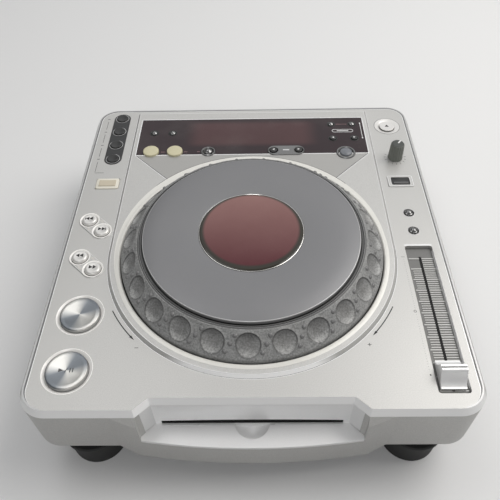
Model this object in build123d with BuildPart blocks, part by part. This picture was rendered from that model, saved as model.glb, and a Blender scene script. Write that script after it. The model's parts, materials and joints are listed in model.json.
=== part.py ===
from build123d import *
import os
from dataclasses import dataclass
from math import atan2, cos, degrees, hypot, pi, radians, sin, tan

# A tabletop disc player with a slot in its front edge and a jog dial on its panel.
# Millimetres. X runs to the right, Y to the back and Z up. The origin is on the
# table, under the middle of the player.

# ---------------------------------------------------------------- driving sizes
# Case
CASE_WIDTH = 305.0
PANEL_DEPTH = 325.5
LIP_BOW = 8.0  # how far the front lip bows out in front of the panel
JACK_PROUD = 6.0  # how far the jacks stand out behind the panel
JACK_COLLAR = 0.5  # how far the collar of a jack stands out of the rear panel
JACK_COLLAR_W = 0.9  # how much wider than the barrel the collar is
PANEL_Z = 86.0  # top of the panel above the table
PANEL_T = 2.8
WALL = 2.5
CORNER_R = 20.0
BEVEL_H = 5.0
BEVEL_ANGLE = 30.0
SKIRT_Z = 37.0  # lower edge of the side walls
PLATFORM_RISE = 2.2  # the raised part of the panel round the jog dial
PLATFORM_DRAFT = 42.0
PLATFORM_HALF = 111.9
PLATFORM_BACK = 316.0  # from the front edge of the panel

# Front recess, shelf and lip
NOTCH_OUT_X = 74.7
NOTCH_IN_X = 65.5
NOTCH_DEPTH = 8.4
SHELF_BACK_DROP = 32.6  # below the panel
SHELF_FRONT_DROP = 34.5
SHELF_T = 2.2
BEZEL_T = 2.2
LIP_DROP = 61.5
LIP_HALF_TOP = 91.5
LIP_HALF_BOTTOM = 80.5
LIP_HALF_BOW = 92.0
DISC_R = 60.0
SLOT_HALF = DISC_R + 1.5
SLOT_END_H = 4.6
SLOT_MID_H = 6.0
SCOOP_R = 12.0
SCOOP_DEPTH = 5.0

# Jog dial
JOG_FROM_FRONT = 136.3
WELL_R = 102.2
GRIP_R = 101.2
GRIP_TOP_R = 86.5
GRIP_TOP_RISE = 17.2  # of the grip's inner edge, above the platform
GRIP_FOOT_RISE = 2.0  # of the slope's outer edge, above the platform
GRIP_SIDE_H = 5.0
GRIP_T = 3.2
DIMPLES = 24
DIMPLE_START = -91.2  # turn of the first dimple round the dial
DIMPLE_R = 8.6
DIMPLE_DEPTH = 2.2
RIM_R = 85.4
RIM_T = 0.8
JOG_PLATE_R = 82.2
JOG_PLATE_RISE = 20.0  # above the platform
JOG_PLATE_T = 1.8
JOG_PLATE_SKIRT = 3.2
LENS_R = 39.8
LENS_FLANGE_R = 42.0
LENS_FLANGE_T = 1.2
LENS_GAP = 0.1
TOUCH_GAP = 0.7
DIAL_WEB_T = 2.6
DIAL_SHELL_T = 2.2
HUB_WALL = 4.0
PEDESTAL_R = 44.0
PEDESTAL_WALL = 4.0
RUN_FIT = 0.06  # radial running clearance
DIAL_FLOAT = 0.3
CRADLE_Z = 69.0
CRADLE_T = 2.5
CRADLE_R = 88.0
CRADLE_SHOULDER = 4.0
CRADLE_POST_AT = 107.4
CRADLE_POST_R = 4.0
GEAR_MODULE = 2.0
RING_TEETH = 60
PINION_TEETH = 12
GEAR_T = 4.0
GEAR_BACKLASH = 0.35
GEAR_ANGLE = 225.0  # where the pinion stands round the dial
PIN_R = 2.0
DISPLAY_T = 3.5

# Keys
KEY_TRAVEL = 1.0
KEY_GAP = 0.25
KEY_FLANGE = 1.2
KEY_FLANGE_T = 1.4
KEY_REST_GAP = 0.3
KEY_STEM_R = 1.9
STEM_GAP = 0.15
SWITCH_W = 6.0
SWITCH_H = 5.0
BOARD_T = 1.6
BOARD_DROP = 14.0  # top of the key boards below the panel
POST_R = 2.6

# Window in the platform
WINDOW_HALF = 106.8
WINDOW_FROM_JOG = 113.8
WINDOW_L = 54.0
WINDOW_T = 2.5
WINDOW_GAP = 0.15
DISPLAY_HALF = 60.0
DISPLAY_L = 37.0
DISPLAY_FROM_WINDOW = 12.5
RING_PROUD = 0.9
RELOOP_RING_R = 6.6
RELOOP_HOLE_R = 4.9
QUICK_RING_R = 8.7
QUICK_HOLE_R = 6.7
FOLDER_PLATE_L = 33.6
FOLDER_PLATE_W = 12.6
FOLDER_HOLE_R = 4.2

# Loop key bezel
LOOP_BEZEL_L = 75.8
LOOP_BEZEL_W = 15.6
LOOP_BEZEL_T = 1.6
LOOP_BEZEL_PROUD = 0.3

# Tempo fader
FADER_TRAVEL = 100.0
FADER_FROM_SIDE = 22.1
FADER_KNOB_FROM_FRONT = 26.8
FADER_RECESS_W = 21.2
FADER_RECESS_L = 125.4
FADER_RECESS_FROM_FRONT = 13.4
FADER_PLATE_T = 1.5
FADER_PLATE_LAP = 3.0
FADER_SLOT_W = 1.8
LEVER_T = 1.2
LEVER_L = 4.0
KNOB_W = 17.2
KNOB_L = 20.4
KNOB_BASE_DROP = 1.6
KNOB_RIDGE_RISE = 9.6
KNOB_RIDGE_L = 5.6
KNOB_EDGE_H = 1.6
KNOB_SCOOP_R = 11.5
FADER_BODY_W = 12.0
FADER_BODY_H = 9.5
FADER_BODY_WALL = 1.0

# Speed knob
SPEED_KNOB_R = 6.4
SPEED_KNOB_TOP_R = 5.9
SPEED_KNOB_H = 16.0
SPEED_SHAFT_R = 3.0
SPEED_BUSH_R = 4.5
SPEED_FLUTES = 18
SPEED_REST = -37.0  # the pointer's turn at rest, clockwise seen from above
POT_W = 16.0

# Pan, feet and screws
PAN_Z = 27.0
PAN_T = 1.2
PAN_GAP = 0.5
PAN_FRONT_SET = 8.5
PAN_SIDE_H = 30.0
PAN_FRONT_H = 16.0
PAN_REAR_H = 45.0
REAR_WINDOW_HALF = CASE_WIDTH / 2 - 28.5
REAR_WINDOW_TOP = 68.0
FOOT_R = 23.0
FOOT_IN_R = 20.0
FOOT_RIM_H = 4.5
FOOT_FROM_SIDE = 35.5
FOOT_FROM_FRONT = 23.0
FOOT_FROM_BACK = 34.0
BOSS_R = 4.0
SCREW_R = 1.5
SCREW_HEAD_R = 2.8
SCREW_HEAD_H = 1.8
FOOT_SCREW_R = 2.0
FOOT_SCREW_HEAD_R = 4.0

# Disc drive
SPINDLE_FROM_SLOT = 68.0
DRIVE_HALF = 68.0
DRIVE_L = 142.0
DRIVE_Z = 40.0
DRIVE_T = 1.6
DRIVE_WALL = 2.0
DRIVE_TOP = 66.0
DISC_LIFT = 2.3  # disc plane above the foot of the slot
DAMPER_R = 6.5
DAMPER_NECK_R = 4.4
DAMPER_H = 9.0
DAMPER_POST_R = 2.0
MOTOR_R = 13.0
MOTOR_H = 7.0
TURNTABLE_R = 15.0
SHAFT_R = 1.0
CLAMP_R = 14.0
ROLLER_R = 4.2
ROLLER_SHAFT_R = 1.5
ROD_R = 1.5
ROD_HALF_GAP = 22.0
PICKUP_W = 34.0
PICKUP_L = 18.0
PICKUP_H = 7.0

# ---------------------------------------------------------------- derived places
FRONT_Y = -(PANEL_DEPTH + LIP_BOW + JACK_PROUD) / 2 + LIP_BOW
BACK_Y = FRONT_Y + PANEL_DEPTH
MID_Y = (FRONT_Y + BACK_Y) / 2
BEVEL_Z = PANEL_Z - BEVEL_H
PLATFORM_Z = PANEL_Z + PLATFORM_RISE
PANEL_UNDER = PANEL_Z - PANEL_T
SHELF_BACK_Z = PANEL_Z - SHELF_BACK_DROP
SHELF_FRONT_Z = PANEL_Z - SHELF_FRONT_DROP
LIP_Z = PANEL_Z - LIP_DROP
LIP_Y = FRONT_Y - LIP_BOW
RECESS_Y = FRONT_Y + NOTCH_DEPTH  # face of the wall that holds the slot
JOG_Y = FRONT_Y + JOG_FROM_FRONT
JOG_AXIS = Axis((0, JOG_Y, 0), (0, 0, 1))
JOG_PLANE = Plane(origin=(0, JOG_Y, 0), x_dir=(1, 0, 0), z_dir=(0, -1, 0))
BOARD_TOP = PANEL_Z - BOARD_DROP
SWITCH_TOP = BOARD_TOP + SWITCH_H
STEM_Z = SWITCH_TOP + KEY_TRAVEL + STEM_GAP
FLANGE_TOP = PANEL_UNDER - KEY_REST_GAP
WINDOW_Y = JOG_Y + WINDOW_FROM_JOG
WINDOW_MID_Y = WINDOW_Y + WINDOW_L / 2
WINDOW_FLOOR = PLATFORM_Z - WINDOW_T
FADER_X = CASE_WIDTH / 2 - FADER_FROM_SIDE
FADER_Y = FRONT_Y + FADER_KNOB_FROM_FRONT
RECESS_MID_Y = FRONT_Y + FADER_RECESS_FROM_FRONT + FADER_RECESS_L / 2
LEFT_X = -CASE_WIDTH / 2
RIGHT_X = CASE_WIDTH / 2
PAN_FLOOR = PAN_Z + PAN_T
DISC_Z = SHELF_BACK_Z + DISC_LIFT
SPINDLE_Y = RECESS_Y + SPINDLE_FROM_SLOT
DRIVE_FRONT_Y = RECESS_Y + BEZEL_T + 1.0
DRIVE_BACK_Y = DRIVE_FRONT_Y + DRIVE_L


@dataclass
class Key:
    """A round key: its place, how wide it is, and how far it stands proud."""

    x: float
    y: float  # from the front edge of the panel
    r: float
    proud: float
    surface: float = PANEL_Z
    dish: float = 0.0
    bevel: float = 0.5

    @property
    def at(self):
        return (self.x, FRONT_Y + self.y)

    @property
    def hole(self):
        return self.r + KEY_GAP


PANEL_STRIP = CASE_WIDTH / 2 - PLATFORM_HALF  # panel left of the platform
LOOP_X = LEFT_X + 0.615 * PANEL_STRIP
LOOP_YS = (308.7, 288.4, 268.3, 248.2)
TRACK = ((LEFT_X + 18.7, 169.7), (LEFT_X + 30.8, 157.8))
SEARCH = ((LEFT_X + 18.5, 129.7), (LEFT_X + 30.8, 117.9))
PAIR_KEY_R = 6.3
WINDOW_KEY = dict(surface=PLATFORM_Z)

KEYS = {
    "cue_button": Key(LEFT_X + 29.4, 75.9, 14.3, 1.6, dish=0.7, bevel=0.7),
    "play_button": Key(LEFT_X + 29.4, 31.0, 14.3, 1.6, dish=0.7, bevel=0.7),
    "track_back_button": Key(*TRACK[0], PAIR_KEY_R, 2.4, dish=0.4, bevel=1.1),
    "track_forward_button": Key(*TRACK[1], PAIR_KEY_R, 2.4, dish=0.4, bevel=1.1),
    "search_back_button": Key(*SEARCH[0], PAIR_KEY_R, 2.4, dish=0.4, bevel=1.1),
    "search_forward_button": Key(*SEARCH[1], PAIR_KEY_R, 2.4, dish=0.4, bevel=1.1),
    "eject_button": Key(RIGHT_X - 22.7, 292.3, 7.1, 0.3, dish=0.3),
    "tempo_range_button": Key(RIGHT_X - 22.7, 175.1, 3.6, 0.8),
    "master_tempo_button": Key(RIGHT_X - 22.5, 155.1, 3.6, 0.8),
    "time_button": Key(-92.8, 282.8, 2.9, 0.9, **WINDOW_KEY),
    "text_button": Key(-75.3, 282.6, 2.9, 0.9, **WINDOW_KEY),
    "loop_in_button": Key(-92.8, 254.9, 7.2, 2.0, bevel=0.8, **WINDOW_KEY),
    "loop_out_button": Key(-70.9, 254.7, 7.2, 2.0, bevel=0.8, **WINDOW_KEY),
    "reloop_button": Key(-40.1, 254.4, 3.8, 1.5, **WINDOW_KEY),
    "folder_back_button": Key(19.9, 254.8, 3.3, 1.5, **WINDOW_KEY),
    "folder_forward_button": Key(43.1, 254.8, 3.3, 1.5, **WINDOW_KEY),
    "delete_button": Key(76.0, 293.6, 2.7, 0.9, **WINDOW_KEY),
    "memory_button": Key(95.9, 293.5, 2.7, 0.9, **WINDOW_KEY),
    "call_back_button": Key(76.0, 272.0, 3.0, 0.9, **WINDOW_KEY),
    "call_forward_button": Key(96.1, 272.0, 3.0, 0.9, **WINDOW_KEY),
    "quick_return_button": Key(85.9, 250.8, 5.6, 1.8, bevel=0.7, **WINDOW_KEY),
}
for number, loop_y in enumerate(LOOP_YS, 1):
    KEYS[f"loop_button_{number}"] = Key(LOOP_X, loop_y, 5.5, 1.5, dish=0.5)

REVERSE = (LEFT_X + 25.8, 214.5)
REVERSE_W, REVERSE_L = 20.2, 13.1
REVERSE_PAD_W, REVERSE_PAD_L, REVERSE_PAD_H = 14.4, 8.8, 0.7
REVERSE_PROUD = 0.8
JOG_MODE = (RIGHT_X - 23.1, 213.4)
JOG_MODE_W, JOG_MODE_L = 15.6, 8.9
JOG_MODE_FRAME_W, JOG_MODE_FRAME_L, JOG_MODE_FRAME_H = 22.6, 14.4, 0.8
JOG_MODE_PROUD = 0.6
SPEED = (RIGHT_X - 22.5, 245.8)
EJECT_DISH_R, EJECT_DISH_DEPTH = 11.4, 1.4
BIG_RING_R, BIG_RING_DEPTH = 16.8, 2.0
PAIR_RING_R, PAIR_RING_DEPTH = 7.7, 0.9
PAIR_PLATE_R, PAIR_PLATE_RISE = 8.7, 0.7
WINDOW_KEYS = [name for name, key in KEYS.items() if key.surface == PLATFORM_Z]
RECT_KEYS = {"reverse_button": REVERSE, "jog_mode_button": JOG_MODE}


def at(place):
    """A place given from the front edge of the panel, in the part's own frame."""
    return (place[0], FRONT_Y + place[1])


# ---------------------------------------------------------------- shared helpers
def notch_x(y, grow=0.0):
    """Half width of the front recess at y, with its sides moved out by grow."""
    run = NOTCH_OUT_X - NOTCH_IN_X
    slant = hypot(run, NOTCH_DEPTH) / NOTCH_DEPTH
    return NOTCH_OUT_X - (y - FRONT_Y) * run / NOTCH_DEPTH + grow * slant


def notch_points(grow=0.0, front=FRONT_Y, back=None):
    """The recess seen from above, as a trapezoid."""
    back = RECESS_Y + grow if back is None else back
    wide, narrow = notch_x(front, grow), notch_x(back, grow)
    return [(-wide, front), (-narrow, back), (narrow, back), (wide, front)]


def polygon(plane, points):
    """A closed outline of straight sides."""
    with BuildSketch(plane) as outline:
        with BuildLine():
            Polyline(*points, close=True)
        make_face()
    return outline.sketch


def case_plan(z, inset=0.0, notched=True):
    """The case seen from above, with or without the recess in its front edge."""
    with BuildSketch(Plane.XY.offset(z)) as plan:
        with Locations((0, MID_Y)):
            RectangleRounded(CASE_WIDTH - 2 * inset, PANEL_DEPTH - 2 * inset, CORNER_R - inset)
        if notched:
            with BuildLine():
                Polyline(*notch_points(inset, FRONT_Y - WALL), close=True)
            make_face(mode=Mode.SUBTRACT)
    return plan.sketch


def bow_radius(half, bow):
    """Radius of the arc over a chord of twice half that rises by bow."""
    return (half * half + bow * bow) / (2 * bow)


def turned(plane, axis, points, mode=Mode.ADD):
    """A solid of revolution from points (radius, height)."""
    revolve(polygon(plane, points), axis=axis, mode=mode)


def upright(place, steps, mode=Mode.ADD):
    """A stack of cylinders on one upright axis, from steps (radius, low, high)."""
    for radius, low, high in steps:
        with BuildSketch(Plane.XY.offset(low)) as disc:
            with Locations(place):
                Circle(radius)
        extrude(disc.sketch, amount=high - low, mode=mode)


def block(place, size, low, high, radius=0.0, mode=Mode.ADD):
    """An upright block centred on place."""
    with BuildSketch(Plane.XY.offset(low)) as foot:
        with Locations(place):
            if radius:
                RectangleRounded(size[0], size[1], radius)
            else:
                Rectangle(*size)
    extrude(foot.sketch, amount=high - low, mode=mode)


def conical_recess(place, outer, inner, top, depth):
    """A round recess whose side slopes from outer at the top to inner at its foot."""
    with BuildSketch(Plane.XY.offset(top - depth)) as low:
        with Locations(place):
            Circle(inner)
    with BuildSketch(Plane.XY.offset(top)) as high:
        with Locations(place):
            Circle(outer)
    loft([low.sketch, high.sketch], mode=Mode.SUBTRACT)


def save(builder, name):
    """Label a finished sub-part and write its file."""
    builder.part.label = name
    export_step(builder.part, f"parts/{name}.step")


os.makedirs("parts", exist_ok=True)

# ---------------------------------------------------------------- case
BOSSES = [(side * (CASE_WIDTH / 2 - 9.6), y) for side in (-1, 1) for y in (-16.0, BACK_Y - 62.0)]
BOSSES += [(side * (CASE_WIDTH / 2 - 68.5), FRONT_Y + 14.5) for side in (-1, 1)]
LEFT_BOARD = (LEFT_X + 27.5, 162.0)
LEFT_BOARD_SIZE = (23.0, 300.0)
RIGHT_BOARD = (RIGHT_X - 25.0, 227.0)
RIGHT_BOARD_SIZE = (22.0, 164.0)
WINDOW_BOARD = (0.0, 276.0)
WINDOW_BOARD_SIZE = (207.0, 64.0)
BOARD_POSTS = [(LEFT_X + 20.5, y) for y in (53.4, 195.0, 233.0)]
BOARD_POSTS += [(RIGHT_X - 17.6, y) for y in (163.0, 200.0, 270.0)]
BOARD_POSTS += [(side * 60.0, 250.0) for side in (-1, 1)]
BOARD_POSTS += [(side * 100.0, 303.5) for side in (-1, 1)]
CRADLE_POSTS = [
    (CRADLE_POST_AT * cos(radians(a)), JOG_Y + CRADLE_POST_AT * sin(radians(a)))
    for a in (45, 135, 225, 315)
]

with BuildPart() as lip:
    with BuildSketch(Plane.XY.offset(LIP_Z)):
        with BuildLine():
            ThreePointArc((-LIP_HALF_BOW, FRONT_Y), (0, LIP_Y), (LIP_HALF_BOW, FRONT_Y))
            Polyline(
                (LIP_HALF_BOW, FRONT_Y),
                (LIP_HALF_BOW, FRONT_Y + WALL),
                (-LIP_HALF_BOW, FRONT_Y + WALL),
                (-LIP_HALF_BOW, FRONT_Y),
            )
        make_face()
    extrude(amount=BEVEL_Z - LIP_Z)
    # The skirt steps down to the lip along a slant at each side.
    extrude(
        polygon(
            Plane.XZ.offset(-FRONT_Y),
            [
                (-LIP_HALF_BOW, BEVEL_Z),
                (-LIP_HALF_BOW, SKIRT_Z),
                (-LIP_HALF_TOP, SKIRT_Z),
                (-LIP_HALF_BOTTOM, LIP_Z),
                (LIP_HALF_BOTTOM, LIP_Z),
                (LIP_HALF_TOP, SKIRT_Z),
                (LIP_HALF_BOW, SKIRT_Z),
                (LIP_HALF_BOW, BEVEL_Z),
            ],
        ),
        amount=2 * LIP_BOW, both=True, mode=Mode.INTERSECT,
    )
    # Above the shelf the bow leans back to the line of the panel's edge.
    extrude(
        polygon(
            Plane.YZ,
            [
                (FRONT_Y, BEVEL_Z),
                (LIP_Y, SHELF_FRONT_Z),
                (LIP_Y - 1, SHELF_FRONT_Z),
                (LIP_Y - 1, BEVEL_Z + 1),
                (FRONT_Y, BEVEL_Z + 1),
            ],
        ),
        amount=LIP_HALF_BOW + 1, both=True, mode=Mode.SUBTRACT,
    )

with BuildPart() as top_case:
    extrude(case_plan(SKIRT_Z, notched=False), amount=BEVEL_Z - SKIRT_Z)
    extrude(case_plan(BEVEL_Z), amount=BEVEL_H, taper=BEVEL_ANGLE)
    add(lip.part)
    # Platform: a straight-sided strip with a round front that follows the jog dial.
    with BuildSketch(Plane.XY.offset(PANEL_Z)):
        with Locations((0, (JOG_Y + FRONT_Y + PLATFORM_BACK) / 2)):
            Rectangle(2 * PLATFORM_HALF, FRONT_Y + PLATFORM_BACK - JOG_Y)
        with Locations((0, JOG_Y)):
            Circle(PLATFORM_HALF)
    extrude(amount=PLATFORM_RISE, taper=PLATFORM_DRAFT)
    # Raised plates under the paired keys and round the jog mode key.
    for pair in (TRACK, SEARCH):
        (x1, y1), (x2, y2) = pair
        with BuildSketch(Plane.XY.offset(PANEL_Z)):
            with Locations(Location(((x1 + x2) / 2, FRONT_Y + (y1 + y2) / 2, 0))):
                SlotCenterToCenter(
                    hypot(x2 - x1, y2 - y1), 2 * PAIR_PLATE_R, rotation=degrees(atan2(y2 - y1, x2 - x1))
                )
        extrude(amount=PAIR_PLATE_RISE, taper=45)
    with BuildSketch(Plane.XY.offset(PANEL_Z)):
        with Locations(at(JOG_MODE)):
            RectangleRounded(JOG_MODE_FRAME_W, JOG_MODE_FRAME_L, 2.0)
    extrude(amount=JOG_MODE_FRAME_H, taper=40)
    # Hollow inside.
    extrude(case_plan(SKIRT_Z - 1, WALL, notched=False), amount=BEVEL_Z - SKIRT_Z + 1, mode=Mode.SUBTRACT)
    extrude(case_plan(BEVEL_Z, WALL), amount=PANEL_UNDER - BEVEL_Z, taper=BEVEL_ANGLE, mode=Mode.SUBTRACT)
    # The lip is a curved wall, open behind and below.
    lip_r = bow_radius(LIP_HALF_BOW, LIP_BOW)
    with BuildSketch(Plane.XY.offset(LIP_Z - 1)):
        with Locations((0, LIP_Y + lip_r)):
            Circle(lip_r - WALL)
        with Locations((0, FRONT_Y - LIP_BOW + WALL / 2)):
            Rectangle(2 * LIP_HALF_BOTTOM, 2 * (LIP_BOW + WALL / 2 + 1), mode=Mode.INTERSECT)
    extrude(amount=SHELF_FRONT_Z - SHELF_T - LIP_Z + 1, mode=Mode.SUBTRACT)
    # Mouth of the front recess.
    extrude(
        polygon(
            Plane.XY.offset(SHELF_FRONT_Z - SHELF_T),
            notch_points(0.0, FRONT_Y, FRONT_Y + WALL + 0.01)
            + [(notch_x(FRONT_Y), LIP_Y - 1), (-notch_x(FRONT_Y), LIP_Y - 1)],
        ),
        amount=BEVEL_Z - SHELF_FRONT_Z + SHELF_T, mode=Mode.SUBTRACT,
    )
    # Jog well, with a fine step round its edge.
    upright((0, JOG_Y), [(WELL_R, PANEL_UNDER - 1, PLATFORM_Z + 1)], Mode.SUBTRACT)
    conical_recess((0, JOG_Y), WELL_R + 0.9, WELL_R, PLATFORM_Z, 0.9)
    # Window recess, and the opening under it for the display.
    block((0, WINDOW_MID_Y), (2 * WINDOW_HALF, WINDOW_L), WINDOW_FLOOR, PLATFORM_Z, 1.0, Mode.SUBTRACT)
    display_mid = WINDOW_Y + DISPLAY_FROM_WINDOW + DISPLAY_L / 2
    block((0, display_mid), (2 * DISPLAY_HALF, DISPLAY_L), PANEL_UNDER, WINDOW_FLOOR, 2.0, Mode.SUBTRACT)
    # The silver trims and the wide keys reach over the window's front edge.
    for place, radius in (
        (KEYS["quick_return_button"].at, QUICK_RING_R),
        (KEYS["reloop_button"].at, RELOOP_RING_R),
    ):
        upright(place, [(radius + WINDOW_GAP, WINDOW_FLOOR, PLATFORM_Z)], Mode.SUBTRACT)
    folder_mid = (
        (KEYS["folder_back_button"].x + KEYS["folder_forward_button"].x) / 2,
        KEYS["folder_back_button"].at[1],
    )
    with BuildSketch(Plane.XY.offset(WINDOW_FLOOR)):
        with Locations(folder_mid):
            SlotOverall(FOLDER_PLATE_L + 2 * WINDOW_GAP, FOLDER_PLATE_W + 2 * WINDOW_GAP)
    extrude(amount=WINDOW_T, mode=Mode.SUBTRACT)
    # Recess for the loop keys' bezel.
    with BuildSketch(Plane.XY.offset(PANEL_Z - LOOP_BEZEL_T)):
        with Locations((LOOP_X, FRONT_Y + (LOOP_YS[0] + LOOP_YS[-1]) / 2)):
            SlotOverall(LOOP_BEZEL_L + 2 * WINDOW_GAP, LOOP_BEZEL_W + 2 * WINDOW_GAP, rotation=90)
    extrude(amount=LOOP_BEZEL_T, mode=Mode.SUBTRACT)
    # Key surrounds and key holes.
    for name in ("cue_button", "play_button"):
        conical_recess(KEYS[name].at, BIG_RING_R, KEYS[name].hole, PANEL_Z, BIG_RING_DEPTH)
    for place in (*TRACK, *SEARCH):
        plate_top = PANEL_Z + PAIR_PLATE_RISE
        conical_recess(at(place), PAIR_RING_R, PAIR_KEY_R + KEY_GAP, plate_top, PAIR_RING_DEPTH)
    eject = KEYS["eject_button"]
    conical_recess(eject.at, EJECT_DISH_R, eject.hole, PANEL_Z, EJECT_DISH_DEPTH)
    for key in KEYS.values():
        upright(key.at, [(key.hole, PANEL_UNDER, PLATFORM_Z + 1)], Mode.SUBTRACT)
    for place, width, length in (
        (REVERSE, REVERSE_W, REVERSE_L),
        (JOG_MODE, JOG_MODE_W, JOG_MODE_L),
    ):
        size = (width + 2 * KEY_GAP, length + 2 * KEY_GAP)
        block(at(place), size, PANEL_UNDER, PLATFORM_Z, 1.2, Mode.SUBTRACT)
    upright(at(SPEED), [(SPEED_BUSH_R + KEY_GAP, PANEL_UNDER, PLATFORM_Z)], Mode.SUBTRACT)
    # Fader recess.
    block(
        (FADER_X, RECESS_MID_Y), (FADER_RECESS_W, FADER_RECESS_L), PANEL_UNDER, PANEL_Z, 2.0, Mode.SUBTRACT
    )
    # Bosses for the screws, posts for the key boards and for the jog cradle.
    for place in BOSSES:
        upright(place, [(BOSS_R, PAN_FLOOR, PANEL_UNDER)])
    for place in BOARD_POSTS:
        upright(at(place), [(POST_R, BOARD_TOP, PANEL_UNDER)])
    for place in CRADLE_POSTS:
        upright(place, [(CRADLE_POST_R, CRADLE_Z + CRADLE_T, PANEL_UNDER)])
    for place in BOSSES:
        upright(place, [(SCREW_R + 0.05, PAN_FLOOR - 1, PAN_FLOOR + 12)], Mode.SUBTRACT)
    # Rear window, where the pan's jack panel shows.
    block(
        (0, BACK_Y - WALL / 2),
        (2 * REAR_WINDOW_HALF, WALL + 1),
        SKIRT_Z - 1,
        REAR_WINDOW_TOP,
        0,
        Mode.SUBTRACT,
    )
save(top_case, "top_case")

with BuildPart() as slot_bezel:
    # A box without lid or front: two slanted cheeks, the slot wall and the shelf.
    outside = polygon(Plane.XY.offset(SHELF_FRONT_Z - SHELF_T), notch_points(BEZEL_T, FRONT_Y + WALL))
    extrude(outside, amount=BEVEL_Z - SHELF_FRONT_Z + SHELF_T)
    inside = polygon(Plane.XY.offset(SHELF_FRONT_Z), notch_points(0.0, FRONT_Y + WALL - 1))
    extrude(inside, amount=BEVEL_Z - SHELF_FRONT_Z, mode=Mode.SUBTRACT)
    # The shelf runs out over the lip, with the lip's own bow.
    with BuildSketch(Plane.XY.offset(SHELF_FRONT_Z - SHELF_T)):
        with Locations((0, LIP_Y + lip_r)):
            Circle(lip_r)
        with BuildLine():
            Polyline(
                *notch_points(0.0, FRONT_Y, RECESS_Y + 0.5),
                (notch_x(FRONT_Y), LIP_Y - 1),
                (-notch_x(FRONT_Y), LIP_Y - 1),
                close=True,
            )
        make_face(mode=Mode.INTERSECT)
    extrude(amount=SHELF_BACK_Z - SHELF_FRONT_Z + SHELF_T)
    extrude(
        polygon(
            Plane.YZ,
            [
                (RECESS_Y, SHELF_BACK_Z),
                (LIP_Y, SHELF_FRONT_Z),
                (LIP_Y - 1, SHELF_FRONT_Z),
                (LIP_Y - 1, SHELF_BACK_Z + 1),
                (RECESS_Y, SHELF_BACK_Z + 1),
            ],
        ),
        amount=NOTCH_OUT_X + 5, both=True, mode=Mode.SUBTRACT,
    )
    # Finger scoop, a shallow dish that is deepest at the slot.
    scoop_r = bow_radius(SCOOP_R, SCOOP_DEPTH)
    block(
        (0, RECESS_Y - SCOOP_R / 2),
        (2 * SCOOP_R + 6, SCOOP_R + 3),
        SHELF_BACK_Z - SCOOP_DEPTH - SHELF_T,
        SHELF_FRONT_Z - SHELF_T,
        4.0,
    )
    with BuildSketch(Plane(origin=(0, RECESS_Y, SHELF_BACK_Z), x_dir=(1, 0, 0), z_dir=(0, -1, 0))):
        with BuildLine():
            RadiusArc((0, -SCOOP_DEPTH), (SCOOP_R, 0), -scoop_r)
            Polyline((SCOOP_R, 0), (0, 0), (0, -SCOOP_DEPTH))
        make_face()
    scoop_axis = Axis((0, RECESS_Y, 0), (0, 0, -1))
    revolve(axis=scoop_axis, revolution_arc=180, mode=Mode.SUBTRACT)
    # The slot, arched along its top edge.
    with BuildSketch(Plane.XZ.offset(-RECESS_Y)):
        with BuildLine():
            ThreePointArc(
                (-SLOT_HALF, SHELF_BACK_Z + SLOT_END_H),
                (0, SHELF_BACK_Z + SLOT_MID_H),
                (SLOT_HALF, SHELF_BACK_Z + SLOT_END_H),
            )
            Polyline(
                (SLOT_HALF, SHELF_BACK_Z + SLOT_END_H),
                (SLOT_HALF, SHELF_BACK_Z),
                (-SLOT_HALF, SHELF_BACK_Z),
                (-SLOT_HALF, SHELF_BACK_Z + SLOT_END_H),
            )
        make_face()
    extrude(amount=BEZEL_T + 2, both=True, mode=Mode.SUBTRACT)
save(slot_bezel, "slot_bezel")

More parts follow.
